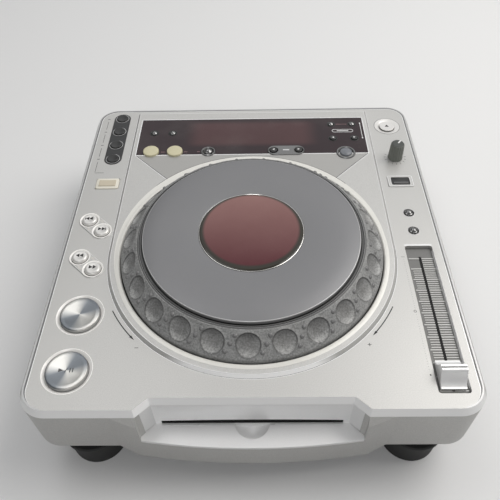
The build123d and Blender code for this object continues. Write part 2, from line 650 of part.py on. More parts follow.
with BuildPart() as bottom_case:
    pan_w = CASE_WIDTH - 2 * WALL - 2 * PAN_GAP
    pan_front = FRONT_Y + PAN_FRONT_SET
    pan_back = BACK_Y - WALL - PAN_GAP
    pan_mid = (pan_front + pan_back) / 2
    pan_l = pan_back - pan_front
    block((0, pan_mid), (pan_w, pan_l), PAN_Z, PAN_Z + PAN_REAR_H, CORNER_R - WALL - PAN_GAP)
    inner = (pan_w - 2 * PAN_T, pan_l - 2 * PAN_T)
    inner_r = CORNER_R - WALL - PAN_GAP - PAN_T
    block((0, pan_mid), inner, PAN_FLOOR, PAN_Z + PAN_REAR_H + 1, inner_r, Mode.SUBTRACT)
    # Side walls stand lower than the rear panel, and the front wall lower still.
    rear_line = pan_back - CORNER_R
    block(
        (0, (FRONT_Y + rear_line) / 2),
        (CASE_WIDTH, rear_line - FRONT_Y),
        PAN_Z + PAN_SIDE_H,
        PAN_Z + PAN_REAR_H,
        0,
        Mode.SUBTRACT,
    )
    block(
        (0, pan_front + CORNER_R / 2),
        (CASE_WIDTH, CORNER_R),
        PAN_Z + PAN_FRONT_H,
        PAN_Z + PAN_SIDE_H,
        0,
        Mode.SUBTRACT,
    )
    feet = [
        (side * (CASE_WIDTH / 2 - FOOT_FROM_SIDE), y)
        for side in (-1, 1)
        for y in (FRONT_Y + FOOT_FROM_FRONT, BACK_Y - FOOT_FROM_BACK)
    ]
    for place in BOSSES:
        upright(place, [(SCREW_R + 0.2, PAN_Z - 1, PAN_FLOOR + 1)], Mode.SUBTRACT)
    # Posts that carry the drive's dampers, and stand-offs for the boards.
    damper_x = DRIVE_HALF - 9.0
    dampers = [
        (side * damper_x, y) for side in (-1, 1) for y in (DRIVE_FRONT_Y + 16.0, DRIVE_BACK_Y - 9.0)
    ]
    damper_low = DRIVE_Z - (DAMPER_H - DRIVE_T) / 2
    for place in dampers:
        upright(
            place,
            [(DAMPER_R, PAN_FLOOR, damper_low), (DAMPER_POST_R, PAN_FLOOR, damper_low + DAMPER_H)],
        )
    main_board_z = PAN_FLOOR + 8.0
    main_board_size = (CASE_WIDTH - 125.0, 150.0)
    main_board_at = (LEFT_X + 17.5 + main_board_size[0] / 2, BACK_Y - 84.0)
    psu_at, psu_size = (RIGHT_X - 58.0, BACK_Y - 68.0), (84.0, 118.0)
    standoffs = []
    for (cx, cy), (w, l) in ((main_board_at, main_board_size), (psu_at, psu_size)):
        standoffs += [(cx + i * (w / 2 - 6), cy + j * (l / 2 - 6)) for i in (-1, 1) for j in (-1, 1)]
    for place in standoffs:
        upright(place, [(3.5, PAN_FLOOR, main_board_z)])
        upright(place, [(1.3, PAN_FLOOR, main_board_z)], Mode.SUBTRACT)
    for place in feet:
        upright(place, [(FOOT_SCREW_R, PAN_Z - 1, PAN_FLOOR + 1)], Mode.SUBTRACT)
    # Openings in the rear panel for the jacks, the inlet and the power switch.
    jack_z = main_board_z + 18.0
    jacks = {"left": LEFT_X + 52.5, "right": LEFT_X + 70.5, "digital": LEFT_X + 100.5}
    jack_r, control_r = 4.15, 3.0
    control_x = LEFT_X + 128.5
    inlet_x, inlet_w, inlet_h = RIGHT_X - 74.5, 20.6, 9.6
    power_x, power_w, power_h = RIGHT_X - 112.5, 11.0, 7.0
    jack_plane = Plane.XZ.offset(-pan_back)
    with BuildSketch(jack_plane):
        with Locations(*[(x, jack_z) for x in jacks.values()]):
            Circle(jack_r + JACK_COLLAR_W + 0.15)
        with Locations((control_x, jack_z)):
            Circle(control_r + 0.3)
        with Locations((inlet_x, jack_z)):
            RectangleRounded(inlet_w + 0.4, inlet_h + 0.4, 4.0)
        with Locations((power_x, jack_z)):
            Rectangle(power_w + 2 * KEY_GAP, power_h + 2 * KEY_GAP)
    extrude(amount=PAN_T + 1, both=True, mode=Mode.SUBTRACT)
save(bottom_case, "bottom_case")

with BuildPart() as rubber_feet:
    for place in feet:
        foot_plane = Plane(origin=(*place, 0), x_dir=(1, 0, 0), z_dir=(0, -1, 0))
        turned(
            foot_plane,
            Axis((*place, 0), (0, 0, 1)),
            [
                (FOOT_SCREW_HEAD_R + 1.5, 0),
                (FOOT_IN_R, 0),
                (FOOT_IN_R + 1, 1),
                (FOOT_IN_R + 1.5, PAN_Z - FOOT_RIM_H),
                (FOOT_R, PAN_Z - FOOT_RIM_H + 1),
                (FOOT_R, PAN_Z - 1),
                (FOOT_R - 1, PAN_Z),
                (FOOT_SCREW_R + 0.05, PAN_Z),
                (FOOT_SCREW_R + 0.05, PAN_Z - 6),
                (FOOT_SCREW_HEAD_R + 1.5, PAN_Z - 6),
            ],
        )
save(rubber_feet, "rubber_feet")

with BuildPart() as case_screws:
    for place in BOSSES:
        upright(
            place,
            [(SCREW_HEAD_R, PAN_Z - SCREW_HEAD_H, PAN_Z), (SCREW_R, PAN_Z, PAN_FLOOR + 10)],
        )
    for place in feet:
        upright(
            place,
            [
                (FOOT_SCREW_HEAD_R, PAN_Z - 6 - 2.4, PAN_Z - 6),
                (FOOT_SCREW_R - 0.05, PAN_Z - 6, PAN_FLOOR + 4),
            ],
        )
save(case_screws, "case_screws")

# ---------------------------------------------------------------- window and trims
with BuildPart() as display_window:
    block(
        (0, WINDOW_MID_Y),
        (2 * WINDOW_HALF - 2 * WINDOW_GAP, WINDOW_L - 2 * WINDOW_GAP),
        WINDOW_FLOOR,
        PLATFORM_Z - 0.1,
        1.0 - WINDOW_GAP / 2,
    )
    for name in WINDOW_KEYS:
        radius = {
            "reloop_button": RELOOP_RING_R + WINDOW_GAP,
            "quick_return_button": QUICK_RING_R + WINDOW_GAP,
            "folder_back_button": 0,
            "folder_forward_button": 0,
        }.get(name, KEYS[name].hole)
        if radius:
            upright(KEYS[name].at, [(radius, WINDOW_FLOOR, PLATFORM_Z)], Mode.SUBTRACT)
    with BuildSketch(Plane.XY.offset(WINDOW_FLOOR)):
        with Locations(folder_mid):
            SlotOverall(FOLDER_PLATE_L + 2 * WINDOW_GAP, FOLDER_PLATE_W + 2 * WINDOW_GAP)
    extrude(amount=WINDOW_T, mode=Mode.SUBTRACT)
save(display_window, "display_window")

with BuildPart() as key_rings:
    with BuildSketch(Plane.XY.offset(WINDOW_FLOOR)):
        with Locations(folder_mid):
            SlotOverall(FOLDER_PLATE_L, FOLDER_PLATE_W)
        with Locations(KEYS["folder_back_button"].at, KEYS["folder_forward_button"].at):
            Circle(FOLDER_HOLE_R, mode=Mode.SUBTRACT)
    extrude(amount=WINDOW_T + RING_PROUD)
    chamfer(key_rings.edges().group_by(Axis.Z)[-1], 0.35)
    for name, ring_r, hole_r in (
        ("reloop_button", RELOOP_RING_R, RELOOP_HOLE_R),
        ("quick_return_button", QUICK_RING_R, QUICK_HOLE_R),
    ):
        place = KEYS[name].at
        top = PLATFORM_Z + RING_PROUD
        turned(
            Plane(origin=(*place, 0), x_dir=(1, 0, 0), z_dir=(0, -1, 0)),
            Axis((*place, 0), (0, 0, 1)),
            [
                (hole_r, WINDOW_FLOOR),
                (ring_r, WINDOW_FLOOR),
                (ring_r, top - 0.6),
                (ring_r - 0.5, top),
                (hole_r + 0.6, top),
                (hole_r, top - 0.7),
            ],
        )
save(key_rings, "key_rings")

with BuildPart() as loop_key_bezel:
    with BuildSketch(Plane.XY.offset(PANEL_Z - LOOP_BEZEL_T)):
        with Locations((LOOP_X, FRONT_Y + (LOOP_YS[0] + LOOP_YS[-1]) / 2)):
            SlotOverall(LOOP_BEZEL_L, LOOP_BEZEL_W, rotation=90)
        with Locations(*[at((LOOP_X, y)) for y in LOOP_YS]):
            Circle(KEYS["loop_button_1"].hole, mode=Mode.SUBTRACT)
    extrude(amount=LOOP_BEZEL_T + LOOP_BEZEL_PROUD)
    chamfer(loop_key_bezel.edges().group_by(Axis.Z)[-1], 0.25)
save(loop_key_bezel, "loop_key_bezel")

with BuildPart() as display_module:
    block((0, display_mid), (2 * DISPLAY_HALF - 1, DISPLAY_L - 1), BOARD_TOP, WINDOW_FLOOR - 0.3, 1.0)
    block((0, display_mid), (2 * DISPLAY_HALF + 4, DISPLAY_L + 4), BOARD_TOP, PANEL_UNDER - 0.2, 1.0)
save(display_module, "display_module")


# ---------------------------------------------------------------- keys
def key_shape(place, shape, top):
    """Cap, flange and stem of a key. shape draws the cap's outline at a growth."""
    with BuildSketch(Plane.XY.offset(FLANGE_TOP)) as body:
        with Locations(place):
            shape(0.0)
    extrude(body.sketch, amount=top - FLANGE_TOP)
    with BuildSketch(Plane.XY.offset(FLANGE_TOP - KEY_FLANGE_T)) as flange:
        with Locations(place):
            shape(KEY_FLANGE)
    extrude(flange.sketch, amount=KEY_FLANGE_T)
    upright(place, [(KEY_STEM_R, STEM_Z, FLANGE_TOP - KEY_FLANGE_T)])


for name, key in KEYS.items():
    top = key.surface + key.proud
    with BuildPart() as button:
        key_shape(key.at, lambda grow, r=key.r: Circle(r + grow), top)
        chamfer(button.edges().group_by(Axis.Z)[-1], key.bevel)
        if key.dish:
            flat_r = key.r - key.bevel
            dish_r = bow_radius(flat_r, key.dish)
            with Locations((*key.at, top + dish_r - key.dish)):
                Sphere(dish_r, mode=Mode.SUBTRACT)
    save(button, name)

with BuildPart() as reverse_button:
    key_shape(
        at(REVERSE),
        lambda grow: RectangleRounded(REVERSE_W + 2 * grow, REVERSE_L + 2 * grow, 1.0 + grow / 2),
        PANEL_Z + REVERSE_PROUD,
    )
    chamfer(reverse_button.edges().group_by(Axis.Z)[-1], 0.5)
    pad_top = PANEL_Z + REVERSE_PROUD + REVERSE_PAD_H
    block(at(REVERSE), (REVERSE_PAD_W, REVERSE_PAD_L), PANEL_Z + REVERSE_PROUD, pad_top, 0.8)
    chamfer(reverse_button.edges().group_by(Axis.Z)[-1], 0.4)
save(reverse_button, "reverse_button")

with BuildPart() as jog_mode_button:
    key_shape(
        at(JOG_MODE),
        lambda grow: RectangleRounded(JOG_MODE_W + 2 * grow, JOG_MODE_L + 2 * grow, 0.9 + grow / 2),
        PANEL_Z + JOG_MODE_FRAME_H + JOG_MODE_PROUD,
    )
    chamfer(jog_mode_button.edges().group_by(Axis.Z)[-1], 0.6)
save(jog_mode_button, "jog_mode_button")

with BuildPart() as power_button:
    power_out, power_in = pan_back + 4.5, pan_back - PAN_T - KEY_REST_GAP
    with BuildSketch(Plane.XZ.offset(-power_in)):
        with Locations((power_x, jack_z)):
            Rectangle(power_w, power_h)
    extrude(amount=-(power_out - power_in))
    chamfer(power_button.edges().group_by(Axis.Y)[-1], 0.6)
    with BuildSketch(Plane.XZ.offset(-power_in)):
        with Locations((power_x, jack_z)):
            Rectangle(power_w + 2.4, power_h + 2.4)
    extrude(amount=KEY_FLANGE_T)
    with BuildSketch(Plane.XZ.offset(-power_in + KEY_FLANGE_T)):
        with Locations((power_x, jack_z)):
            Rectangle(3.0, 3.0)
    extrude(amount=5.0)
save(power_button, "power_button")

# ---------------------------------------------------------------- boards
with BuildPart() as key_boards:
    for place, size in (
        (LEFT_BOARD, LEFT_BOARD_SIZE),
        (RIGHT_BOARD, RIGHT_BOARD_SIZE),
        (WINDOW_BOARD, WINDOW_BOARD_SIZE),
    ):
        block(at(place), size, BOARD_TOP - BOARD_T, BOARD_TOP)
    for place in [key.at for key in KEYS.values()] + [at(place) for place in RECT_KEYS.values()]:
        block(place, (SWITCH_W, SWITCH_W), BOARD_TOP, SWITCH_TOP)
save(key_boards, "key_boards")

with BuildPart() as speed_pot:
    # Body on the board, with a bush that reaches up through the panel.
    block(at(SPEED), (POT_W, POT_W), BOARD_TOP, BOARD_TOP + 7.0, 1.0)
    upright(at(SPEED), [(SPEED_BUSH_R, BOARD_TOP + 7.0, PANEL_Z)])
    upright(at(SPEED), [(SPEED_SHAFT_R + RUN_FIT, BOARD_TOP + 2.0, PANEL_Z)], Mode.SUBTRACT)
save(speed_pot, "speed_pot")

with BuildPart() as main_board:
    block(main_board_at, main_board_size, main_board_z, main_board_z + BOARD_T)
    chip_z = main_board_z + BOARD_T
    board_x, board_y = main_board_at
    for x, y, w, h in ((-50, -22, 24, 2.6), (-15, 13, 18, 2.2), (15, -32, 14, 2.0), (45, 18, 12, 2.0)):
        block((board_x + x, board_y + y), (w, w), chip_z, chip_z + h)
    for x, y in ((-65, 18), (25, -7), (65, -32), (55, 48)):
        upright((board_x + x, board_y + y), [(4.0, chip_z, chip_z + 9.0)])
save(main_board, "main_board")

with BuildPart() as power_supply:
    block(psu_at, psu_size, main_board_z, main_board_z + BOARD_T)
    psu_x, psu_y = psu_at
    block((psu_x, psu_y - 8), (34, 30), chip_z, chip_z + 22.0, 1.0)
    block((psu_x + 28, psu_y + 20), (4, 50), chip_z, chip_z + 20.0)
    upright((psu_x - 26, psu_y - 30), [(8.0, chip_z, chip_z + 20.0)])
    upright((psu_x - 26, psu_y), [(6.0, chip_z, chip_z + 14.0)])
save(power_supply, "power_supply")

with BuildPart() as rear_connectors:
    # Each jack is a housing behind the rear panel with a barrel that stands through it.
    for x in jacks.values():
        with BuildSketch(jack_plane):
            with Locations((x, jack_z)):
                Circle(jack_r)
        extrude(amount=-(JACK_PROUD + WALL + PAN_GAP))
    # A collar carries each barrel through the panel.
    with BuildSketch(jack_plane.offset(-JACK_COLLAR)):
        with Locations(*[(x, jack_z) for x in jacks.values()]):
            Circle(jack_r + JACK_COLLAR_W)
    extrude(amount=PAN_T + 1 + JACK_COLLAR)
    with BuildSketch(jack_plane):
        with Locations((control_x, jack_z)):
            Circle(control_r)
        with Locations((inlet_x, jack_z)):
            RectangleRounded(inlet_w, inlet_h, 3.8)
    extrude(amount=PAN_T + 1)
    housing_y = pan_back - PAN_T
    for x, w in [*[(x, 14.0) for x in jacks.values()], (control_x, 12.0), (inlet_x, 26.0)]:
        block((x, housing_y - 7.0), (w, 14.0), chip_z, jack_z + 7.0)
    switch_y = power_in - KEY_FLANGE_T - 5.0 - KEY_TRAVEL - STEM_GAP
    block((power_x, switch_y - 6.0), (12.0, 12.0), chip_z, jack_z + 5.0)
    # Hollow of each barrel, of the control jack and of the inlet.
    with BuildSketch(Plane.XZ.offset(-pan_back - 20)):
        with Locations(*[(x, jack_z) for x in jacks.values()]):
            Circle(1.7)
        with Locations((control_x, jack_z)):
            Circle(1.8)
        with Locations((inlet_x, jack_z)):
            RectangleRounded(inlet_w - 4, inlet_h - 3, 3.0)
    extrude(amount=31.0, mode=Mode.SUBTRACT)
    with BuildSketch(Plane.XZ.offset(-pan_back + 1)):
        with Locations((inlet_x - 4.3, jack_z), (inlet_x + 4.3, jack_z)):
            Circle(1.15)
    extrude(amount=12.0)
save(rear_connectors, "rear_connectors")

# ---------------------------------------------------------------- fader and knobs
knob_foot_z = PANEL_Z - KNOB_BASE_DROP
knob_ridge_z = PANEL_Z + KNOB_RIDGE_RISE
slot_low = FADER_Y - LEVER_L / 2 - 1.0
slot_high = FADER_Y + FADER_TRAVEL + LEVER_L / 2 + 1.0
slot_mid = (slot_low + slot_high) / 2

with BuildPart() as fader_scale:
    plate_size = (FADER_RECESS_W + 2 * FADER_PLATE_LAP, FADER_RECESS_L + 2 * FADER_PLATE_LAP)
    block((FADER_X, RECESS_MID_Y), plate_size, PANEL_UNDER - FADER_PLATE_T, PANEL_UNDER, 3.0)
    block(
        (FADER_X, slot_mid),
        (FADER_SLOT_W, slot_high - slot_low),
        PANEL_UNDER - FADER_PLATE_T,
        PANEL_UNDER,
        0,
        Mode.SUBTRACT,
    )
save(fader_scale, "fader_scale")

with BuildPart() as slide_fader:
    body_top = PANEL_UNDER - FADER_PLATE_T
    body_l = slot_high - slot_low + 12.0
    block((FADER_X, slot_mid), (FADER_BODY_W, body_l), body_top - FADER_BODY_H, body_top)
    inner_w = FADER_BODY_W - 2 * FADER_BODY_WALL
    block(
        (FADER_X, slot_mid),
        (inner_w, body_l - 2 * FADER_BODY_WALL),
        body_top - FADER_BODY_H + FADER_BODY_WALL,
        body_top - FADER_BODY_WALL,
        0,
        Mode.SUBTRACT,
    )
    block(
        (FADER_X, slot_mid),
        (FADER_SLOT_W + 0.4, slot_high - slot_low),
        body_top - FADER_BODY_WALL,
        body_top,
        0,
        Mode.SUBTRACT,
    )
save(slide_fader, "slide_fader")

with BuildPart() as fader_knob:
    # Side view: flat foot, a ridge across the middle, a scooped face on each side.
    half = KNOB_L / 2
    ridge = KNOB_RIDGE_L / 2
    with BuildSketch(Plane.YZ.offset(FADER_X)):
        with BuildLine():
            Polyline((FADER_Y - half, knob_foot_z + KNOB_EDGE_H), (FADER_Y - half, knob_foot_z))
            Polyline((FADER_Y - half, knob_foot_z), (FADER_Y + half, knob_foot_z))
            Polyline((FADER_Y + half, knob_foot_z), (FADER_Y + half, knob_foot_z + KNOB_EDGE_H))
            RadiusArc(
                (FADER_Y + half, knob_foot_z + KNOB_EDGE_H),
                (FADER_Y + ridge, knob_ridge_z - 0.8),
                KNOB_SCOOP_R,
            )
            Polyline((FADER_Y + ridge, knob_ridge_z - 0.8), (FADER_Y + 0.6, knob_ridge_z))
            Polyline((FADER_Y + 0.6, knob_ridge_z), (FADER_Y - 0.6, knob_ridge_z))
            Polyline((FADER_Y - 0.6, knob_ridge_z), (FADER_Y - ridge, knob_ridge_z - 0.8))
            RadiusArc(
                (FADER_Y - ridge, knob_ridge_z - 0.8),
                (FADER_Y - half, knob_foot_z + KNOB_EDGE_H),
                KNOB_SCOOP_R,
            )
        make_face()
    extrude(amount=KNOB_W / 2, both=True)
    # Marker groove along the ridge, and the socket for the lever.
    block(
        (FADER_X, FADER_Y), (KNOB_W + 1, 0.9), knob_ridge_z - 0.4, knob_ridge_z + 1, 0, Mode.SUBTRACT
    )
    socket_top = knob_foot_z + 7.0
    block(
        (FADER_X, FADER_Y), (LEVER_T + 0.1, LEVER_L + 0.1), knob_foot_z, socket_top + 0.05, 0, Mode.SUBTRACT
    )
lever_low = body_top - FADER_BODY_H + FADER_BODY_WALL + 0.4
with BuildPart() as fader_lever:
    block((FADER_X, FADER_Y), (LEVER_T, LEVER_L), lever_low, socket_top)
    block((FADER_X, FADER_Y), (inner_w - 0.8, 8.0), lever_low, lever_low + 5.0)
fader_assembly = Compound(children=[fader_knob.part, fader_lever.part], label="fader_knob")
export_step(fader_assembly, "parts/fader_knob.step")

with BuildPart() as speed_knob:
    knob_low = PANEL_Z + 0.4
    with BuildSketch(Plane.XY.offset(knob_low)):
        with Locations(at(SPEED)):
            Circle(SPEED_KNOB_R)
    with BuildSketch(Plane.XY.offset(PANEL_Z + SPEED_KNOB_H)):
        with Locations(at(SPEED)):
            Circle(SPEED_KNOB_TOP_R)
    loft()
    chamfer(speed_knob.edges().group_by(Axis.Z)[-1], 0.5)
    # Flutes round the side, from the foot to just under the top.
    with Locations((*at(SPEED), knob_low + 1.4)):
        with PolarLocations(SPEED_KNOB_R + 0.25, SPEED_FLUTES):
            Cylinder(
                0.7, SPEED_KNOB_H, align=(Align.CENTER, Align.CENTER, Align.MIN), mode=Mode.SUBTRACT
            )
    upright(at(SPEED), [(SPEED_SHAFT_R, BOARD_TOP + 2.3, knob_low + 1)])
    # Pointer groove across the top.
    turn = SPEED_REST
    px, py = at(SPEED)
    with BuildSketch(Plane.XY.offset(PANEL_Z + SPEED_KNOB_H - 0.5)):
        with Locations(Location((px, py, 0), (0, 0, turn))):
            with Locations((0, SPEED_KNOB_TOP_R / 2 + 0.2)):
                Rectangle(1.1, SPEED_KNOB_TOP_R - 0.6)
    extrude(amount=1, mode=Mode.SUBTRACT)
save(speed_knob, "speed_knob")

# ---------------------------------------------------------------- jog dial
jog_plate_z = PLATFORM_Z + JOG_PLATE_RISE
plate_foot_z = jog_plate_z - JOG_PLATE_SKIRT
web_top = plate_foot_z - TOUCH_GAP
web_low = web_top - DIAL_WEB_T
grip_top_z = PLATFORM_Z + GRIP_TOP_RISE
grip_foot_z = PLATFORM_Z + GRIP_FOOT_RISE
grip_low_z = grip_foot_z - GRIP_SIDE_H
hub_r = PEDESTAL_R + RUN_FIT
hub_out = hub_r + HUB_WALL
pitch_ring = GEAR_MODULE * RING_TEETH / 2
pitch_pinion = GEAR_MODULE * PINION_TEETH / 2
hub_low = CRADLE_Z + CRADLE_T + CRADLE_SHOULDER + DIAL_FLOAT
gear_low = hub_low
slope = atan2(grip_top_z - grip_foot_z, GRIP_R - GRIP_TOP_R)
gear_at = (
    (pitch_ring + pitch_pinion) * cos(radians(GEAR_ANGLE)),
    JOG_Y + (pitch_ring + pitch_pinion) * sin(radians(GEAR_ANGLE)),
)


def gear_points(centre, teeth, turn=0.0):
    """Outline of a spur gear, with a straight flank on each side of a tooth."""
    pitch = GEAR_MODULE * teeth / 2
    root, tip = pitch - 1.2 * GEAR_MODULE, pitch + 0.9 * GEAR_MODULE
    thick = pi * GEAR_MODULE / 2 - GEAR_BACKLASH
    points = []
    for tooth in range(teeth):
        middle = 2 * pi * tooth / teeth + radians(turn)
        for radius, width in ((root, 1.75), (tip, 0.5), (tip, -0.5), (root, -1.75)):
            angle = middle - thick * width / 2 / pitch
            points.append((centre[0] + radius * cos(angle), centre[1] + radius * sin(angle)))
    return points


with BuildPart() as jog_dial:
    # Web, rim and the cone that backs the rubber grip.
    offset_in = GRIP_T / sin(slope)
    cone_top_r = GRIP_TOP_R - 1.5
    turned(
        JOG_PLANE,
        JOG_AXIS,
        [
            (hub_r, hub_low),
            (hub_out, hub_low),
            (hub_out, web_low),
            (RIM_R - 4.0, web_low),
            (GRIP_R - offset_in - DIAL_SHELL_T, grip_foot_z - 1.0),
            (GRIP_R - offset_in - DIAL_SHELL_T, grip_low_z + 1.0),
            (GRIP_R - offset_in - 0.05, grip_low_z + 1.0),
            (GRIP_R - offset_in - 0.05, grip_foot_z),
            (cone_top_r, grip_foot_z + (GRIP_R - offset_in - cone_top_r) * tan(slope)),
            (RIM_R - RIM_T, web_top),
            (hub_r, web_top),
        ],
    )
    # Thin upstanding rim round the touch plate.
    turned(
        JOG_PLANE,
        JOG_AXIS,
        [
            (RIM_R - RIM_T, web_top - 1.5),
            (RIM_R, web_top - 1.5),
            (RIM_R, grip_top_z + 0.1),
            (RIM_R - 0.5, grip_top_z + 0.5),
            (RIM_R - RIM_T, grip_top_z + 0.5),
        ],
    )
    # Ring gear under the hub, for the encoder.
    ring_teeth = gear_points((0, JOG_Y), RING_TEETH, GEAR_ANGLE)
    extrude(polygon(Plane.XY.offset(gear_low), ring_teeth), amount=GEAR_T)
    upright((0, JOG_Y), [(hub_r, gear_low - 1, gear_low + GEAR_T + 1)], Mode.SUBTRACT)
save(jog_dial, "jog_dial")

with BuildPart() as jog_grip:
    turned(
        JOG_PLANE,
        JOG_AXIS,
        [
            (RIM_R + 0.02, grip_top_z),
            (GRIP_TOP_R + 0.4, grip_top_z),
            (GRIP_R - 0.8, grip_foot_z + 0.6),
            (GRIP_R, grip_foot_z - 0.4),
            (GRIP_R, grip_low_z),
            (GRIP_R - offset_in + 0.02, grip_low_z),
            (GRIP_R - offset_in + 0.02, grip_foot_z + 0.02),
            (RIM_R + 0.02, grip_foot_z + (GRIP_R - offset_in - RIM_R) * tan(slope) + 0.05),
        ],
    )
    # Finger dimples, shallow dishes square to the slope.
    mid_r = (GRIP_TOP_R + GRIP_R) / 2
    mid_z = (grip_top_z + grip_foot_z) / 2
    dimple_sphere = bow_radius(DIMPLE_R, DIMPLE_DEPTH)
    lift = dimple_sphere - DIMPLE_DEPTH
    with Locations((0, JOG_Y, mid_z + lift * cos(slope))):
        with PolarLocations(mid_r + lift * sin(slope), DIMPLES, start_angle=DIMPLE_START):
            Sphere(dimple_sphere, mode=Mode.SUBTRACT)
save(jog_grip, "jog_grip")

with BuildPart() as jog_plate:
    turned(
        JOG_PLANE,
        JOG_AXIS,
        [
            (LENS_R + LENS_GAP, jog_plate_z - JOG_PLATE_T),
            (JOG_PLATE_R - 2.0, jog_plate_z - JOG_PLATE_T),
            (JOG_PLATE_R - 2.0, plate_foot_z),
            (JOG_PLATE_R, plate_foot_z),
            (JOG_PLATE_R, jog_plate_z - 0.4),
            (JOG_PLATE_R - 0.4, jog_plate_z),
            (LENS_R + LENS_GAP, jog_plate_z),
        ],
    )
save(jog_plate, "jog_plate")

with BuildPart() as jog_lens:
    flange_top = jog_plate_z - JOG_PLATE_T
    turned(
        JOG_PLANE,
        JOG_AXIS,
        [
            (0, flange_top - LENS_FLANGE_T),
            (LENS_FLANGE_R, flange_top - LENS_FLANGE_T),
            (LENS_FLANGE_R, flange_top),
            (LENS_R, flange_top),
            (LENS_R, jog_plate_z - 0.2),
            (LENS_R - 0.7, jog_plate_z + 0.2),
            (0, jog_plate_z + 0.2),
        ],
    )
save(jog_lens, "jog_lens")

with BuildPart() as jog_cradle:
    # Plate with four arms, a shoulder the dial turns on and a hollow pedestal.
    with BuildSketch(Plane.XY.offset(CRADLE_Z)):
        with Locations((0, JOG_Y)):
            Circle(CRADLE_R)
        for a in (45, 135):
            with Locations(Location((0, JOG_Y, 0), (0, 0, a))):
                SlotCenterToCenter(2 * CRADLE_POST_AT, 4 * CRADLE_POST_R)
    extrude(amount=CRADLE_T)
    pedestal_top = web_top - 0.5
    display_seat = pedestal_top - DISPLAY_T - 0.2
    upright(
        (0, JOG_Y),
        [
            (hub_out + 3.0, CRADLE_Z, CRADLE_Z + CRADLE_T + CRADLE_SHOULDER),
            (PEDESTAL_R, CRADLE_Z, pedestal_top),
        ],
    )
    upright((0, JOG_Y), [(PEDESTAL_R - PEDESTAL_WALL, display_seat, pedestal_top + 1)], Mode.SUBTRACT)
    upright(
        (0, JOG_Y),
        [(PEDESTAL_R - 2 * PEDESTAL_WALL, CRADLE_Z - 1, display_seat + 1)],
        Mode.SUBTRACT,
    )
    upright(
        gear_at,
        [(PIN_R + 2, CRADLE_Z, gear_low - DIAL_FLOAT), (PIN_R, CRADLE_Z, gear_low + GEAR_T + 1)],
    )
save(jog_cradle, "jog_cradle")

with BuildPart() as jog_display:
    upright((0, JOG_Y), [(PEDESTAL_R - PEDESTAL_WALL - 0.3, display_seat, display_seat + DISPLAY_T)])
save(jog_display, "jog_display")

with BuildPart() as jog_encoder_gear:
    half_tooth = 180.0 / PINION_TEETH
    pinion_teeth = gear_points(gear_at, PINION_TEETH, GEAR_ANGLE + 180 + half_tooth)
    extrude(polygon(Plane.XY.offset(gear_low), pinion_teeth), amount=GEAR_T)
    upright(gear_at, [(PIN_R + RUN_FIT, gear_low - 1, gear_low + GEAR_T + 1)], Mode.SUBTRACT)
save(jog_encoder_gear, "jog_encoder_gear")

# ---------------------------------------------------------------- disc drive
drive_mid = (DRIVE_FRONT_Y + DRIVE_BACK_Y) / 2
rod_z = DRIVE_Z + DRIVE_T + 4.0
rod_ends = (SPINDLE_Y + MOTOR_R - 2.0, DRIVE_BACK_Y - 6.0)
roller_y = DRIVE_FRONT_Y + 8.0
roller_z = SHELF_BACK_Z - ROLLER_R - 0.3
pickup_y = SPINDLE_Y + 25.0

with BuildPart() as drive_frame:
    block((0, drive_mid), (2 * DRIVE_HALF, DRIVE_L), DRIVE_Z, DRIVE_TOP, 3.0)
    # Hollow, open in front for the disc, with a lip of side wall left standing.
    block(
        (0, drive_mid - 1.0),
        (2 * (DRIVE_HALF - DRIVE_WALL), DRIVE_L - 2 * DRIVE_WALL + 4.0),
        DRIVE_Z + DRIVE_T,
        DRIVE_TOP - DRIVE_T,
        0,
        Mode.SUBTRACT,
    )
    # Window in the base for the pickup's sweep, and one in the lid.
    block(
        (0, (SPINDLE_Y + rod_ends[1]) / 2 + 6),
        (36, rod_ends[1] - SPINDLE_Y - 10),
        DRIVE_Z,
        DRIVE_Z + DRIVE_T,
        2.0,
        Mode.SUBTRACT,
    )
    for side in (-1, 1):
        block((side * 40.0, SPINDLE_Y), (34, 70), DRIVE_TOP - DRIVE_T, DRIVE_TOP, 6.0, Mode.SUBTRACT)
    upright((0, SPINDLE_Y), [(3.0, DRIVE_TOP - DRIVE_T, DRIVE_TOP)], Mode.SUBTRACT)
    # Damper holes and roller bearings.
    for place in dampers:
        upright(place, [(DAMPER_NECK_R + 0.1, DRIVE_Z, DRIVE_Z + DRIVE_T)], Mode.SUBTRACT)
    with BuildSketch(Plane.YZ):
        with Locations((roller_y, roller_z)):
            Circle(ROLLER_SHAFT_R + RUN_FIT)
    extrude(amount=DRIVE_HALF + 1, both=True, mode=Mode.SUBTRACT)
    # Brackets that hold the guide rods at both ends.
    for x in (-ROD_HALF_GAP, ROD_HALF_GAP):
        for y in (rod_ends[0] + 1.5, rod_ends[1] - 1.5):
            block((x, y), (6.0, 3.0), DRIVE_Z + DRIVE_T - 0.5, rod_z + 2.5)
    with BuildSketch(Plane.XZ.offset(-rod_ends[0])):
        with Locations(*[(x, rod_z) for x in (-ROD_HALF_GAP, ROD_HALF_GAP)]):
            Circle(ROD_R)
    extrude(amount=-(rod_ends[1] - rod_ends[0]), mode=Mode.SUBTRACT)
with BuildPart() as guide_rods:
    with BuildSketch(Plane.XZ.offset(-rod_ends[0])):
        with Locations(*[(x, rod_z) for x in (-ROD_HALF_GAP, ROD_HALF_GAP)]):
            Circle(ROD_R)
    extrude(amount=-(rod_ends[1] - rod_ends[0]))
drive_chassis = Compound(
    children=[*drive_frame.part.solids(), *guide_rods.part.solids()], label="drive_chassis"
)
export_step(drive_chassis, "parts/drive_chassis.step")

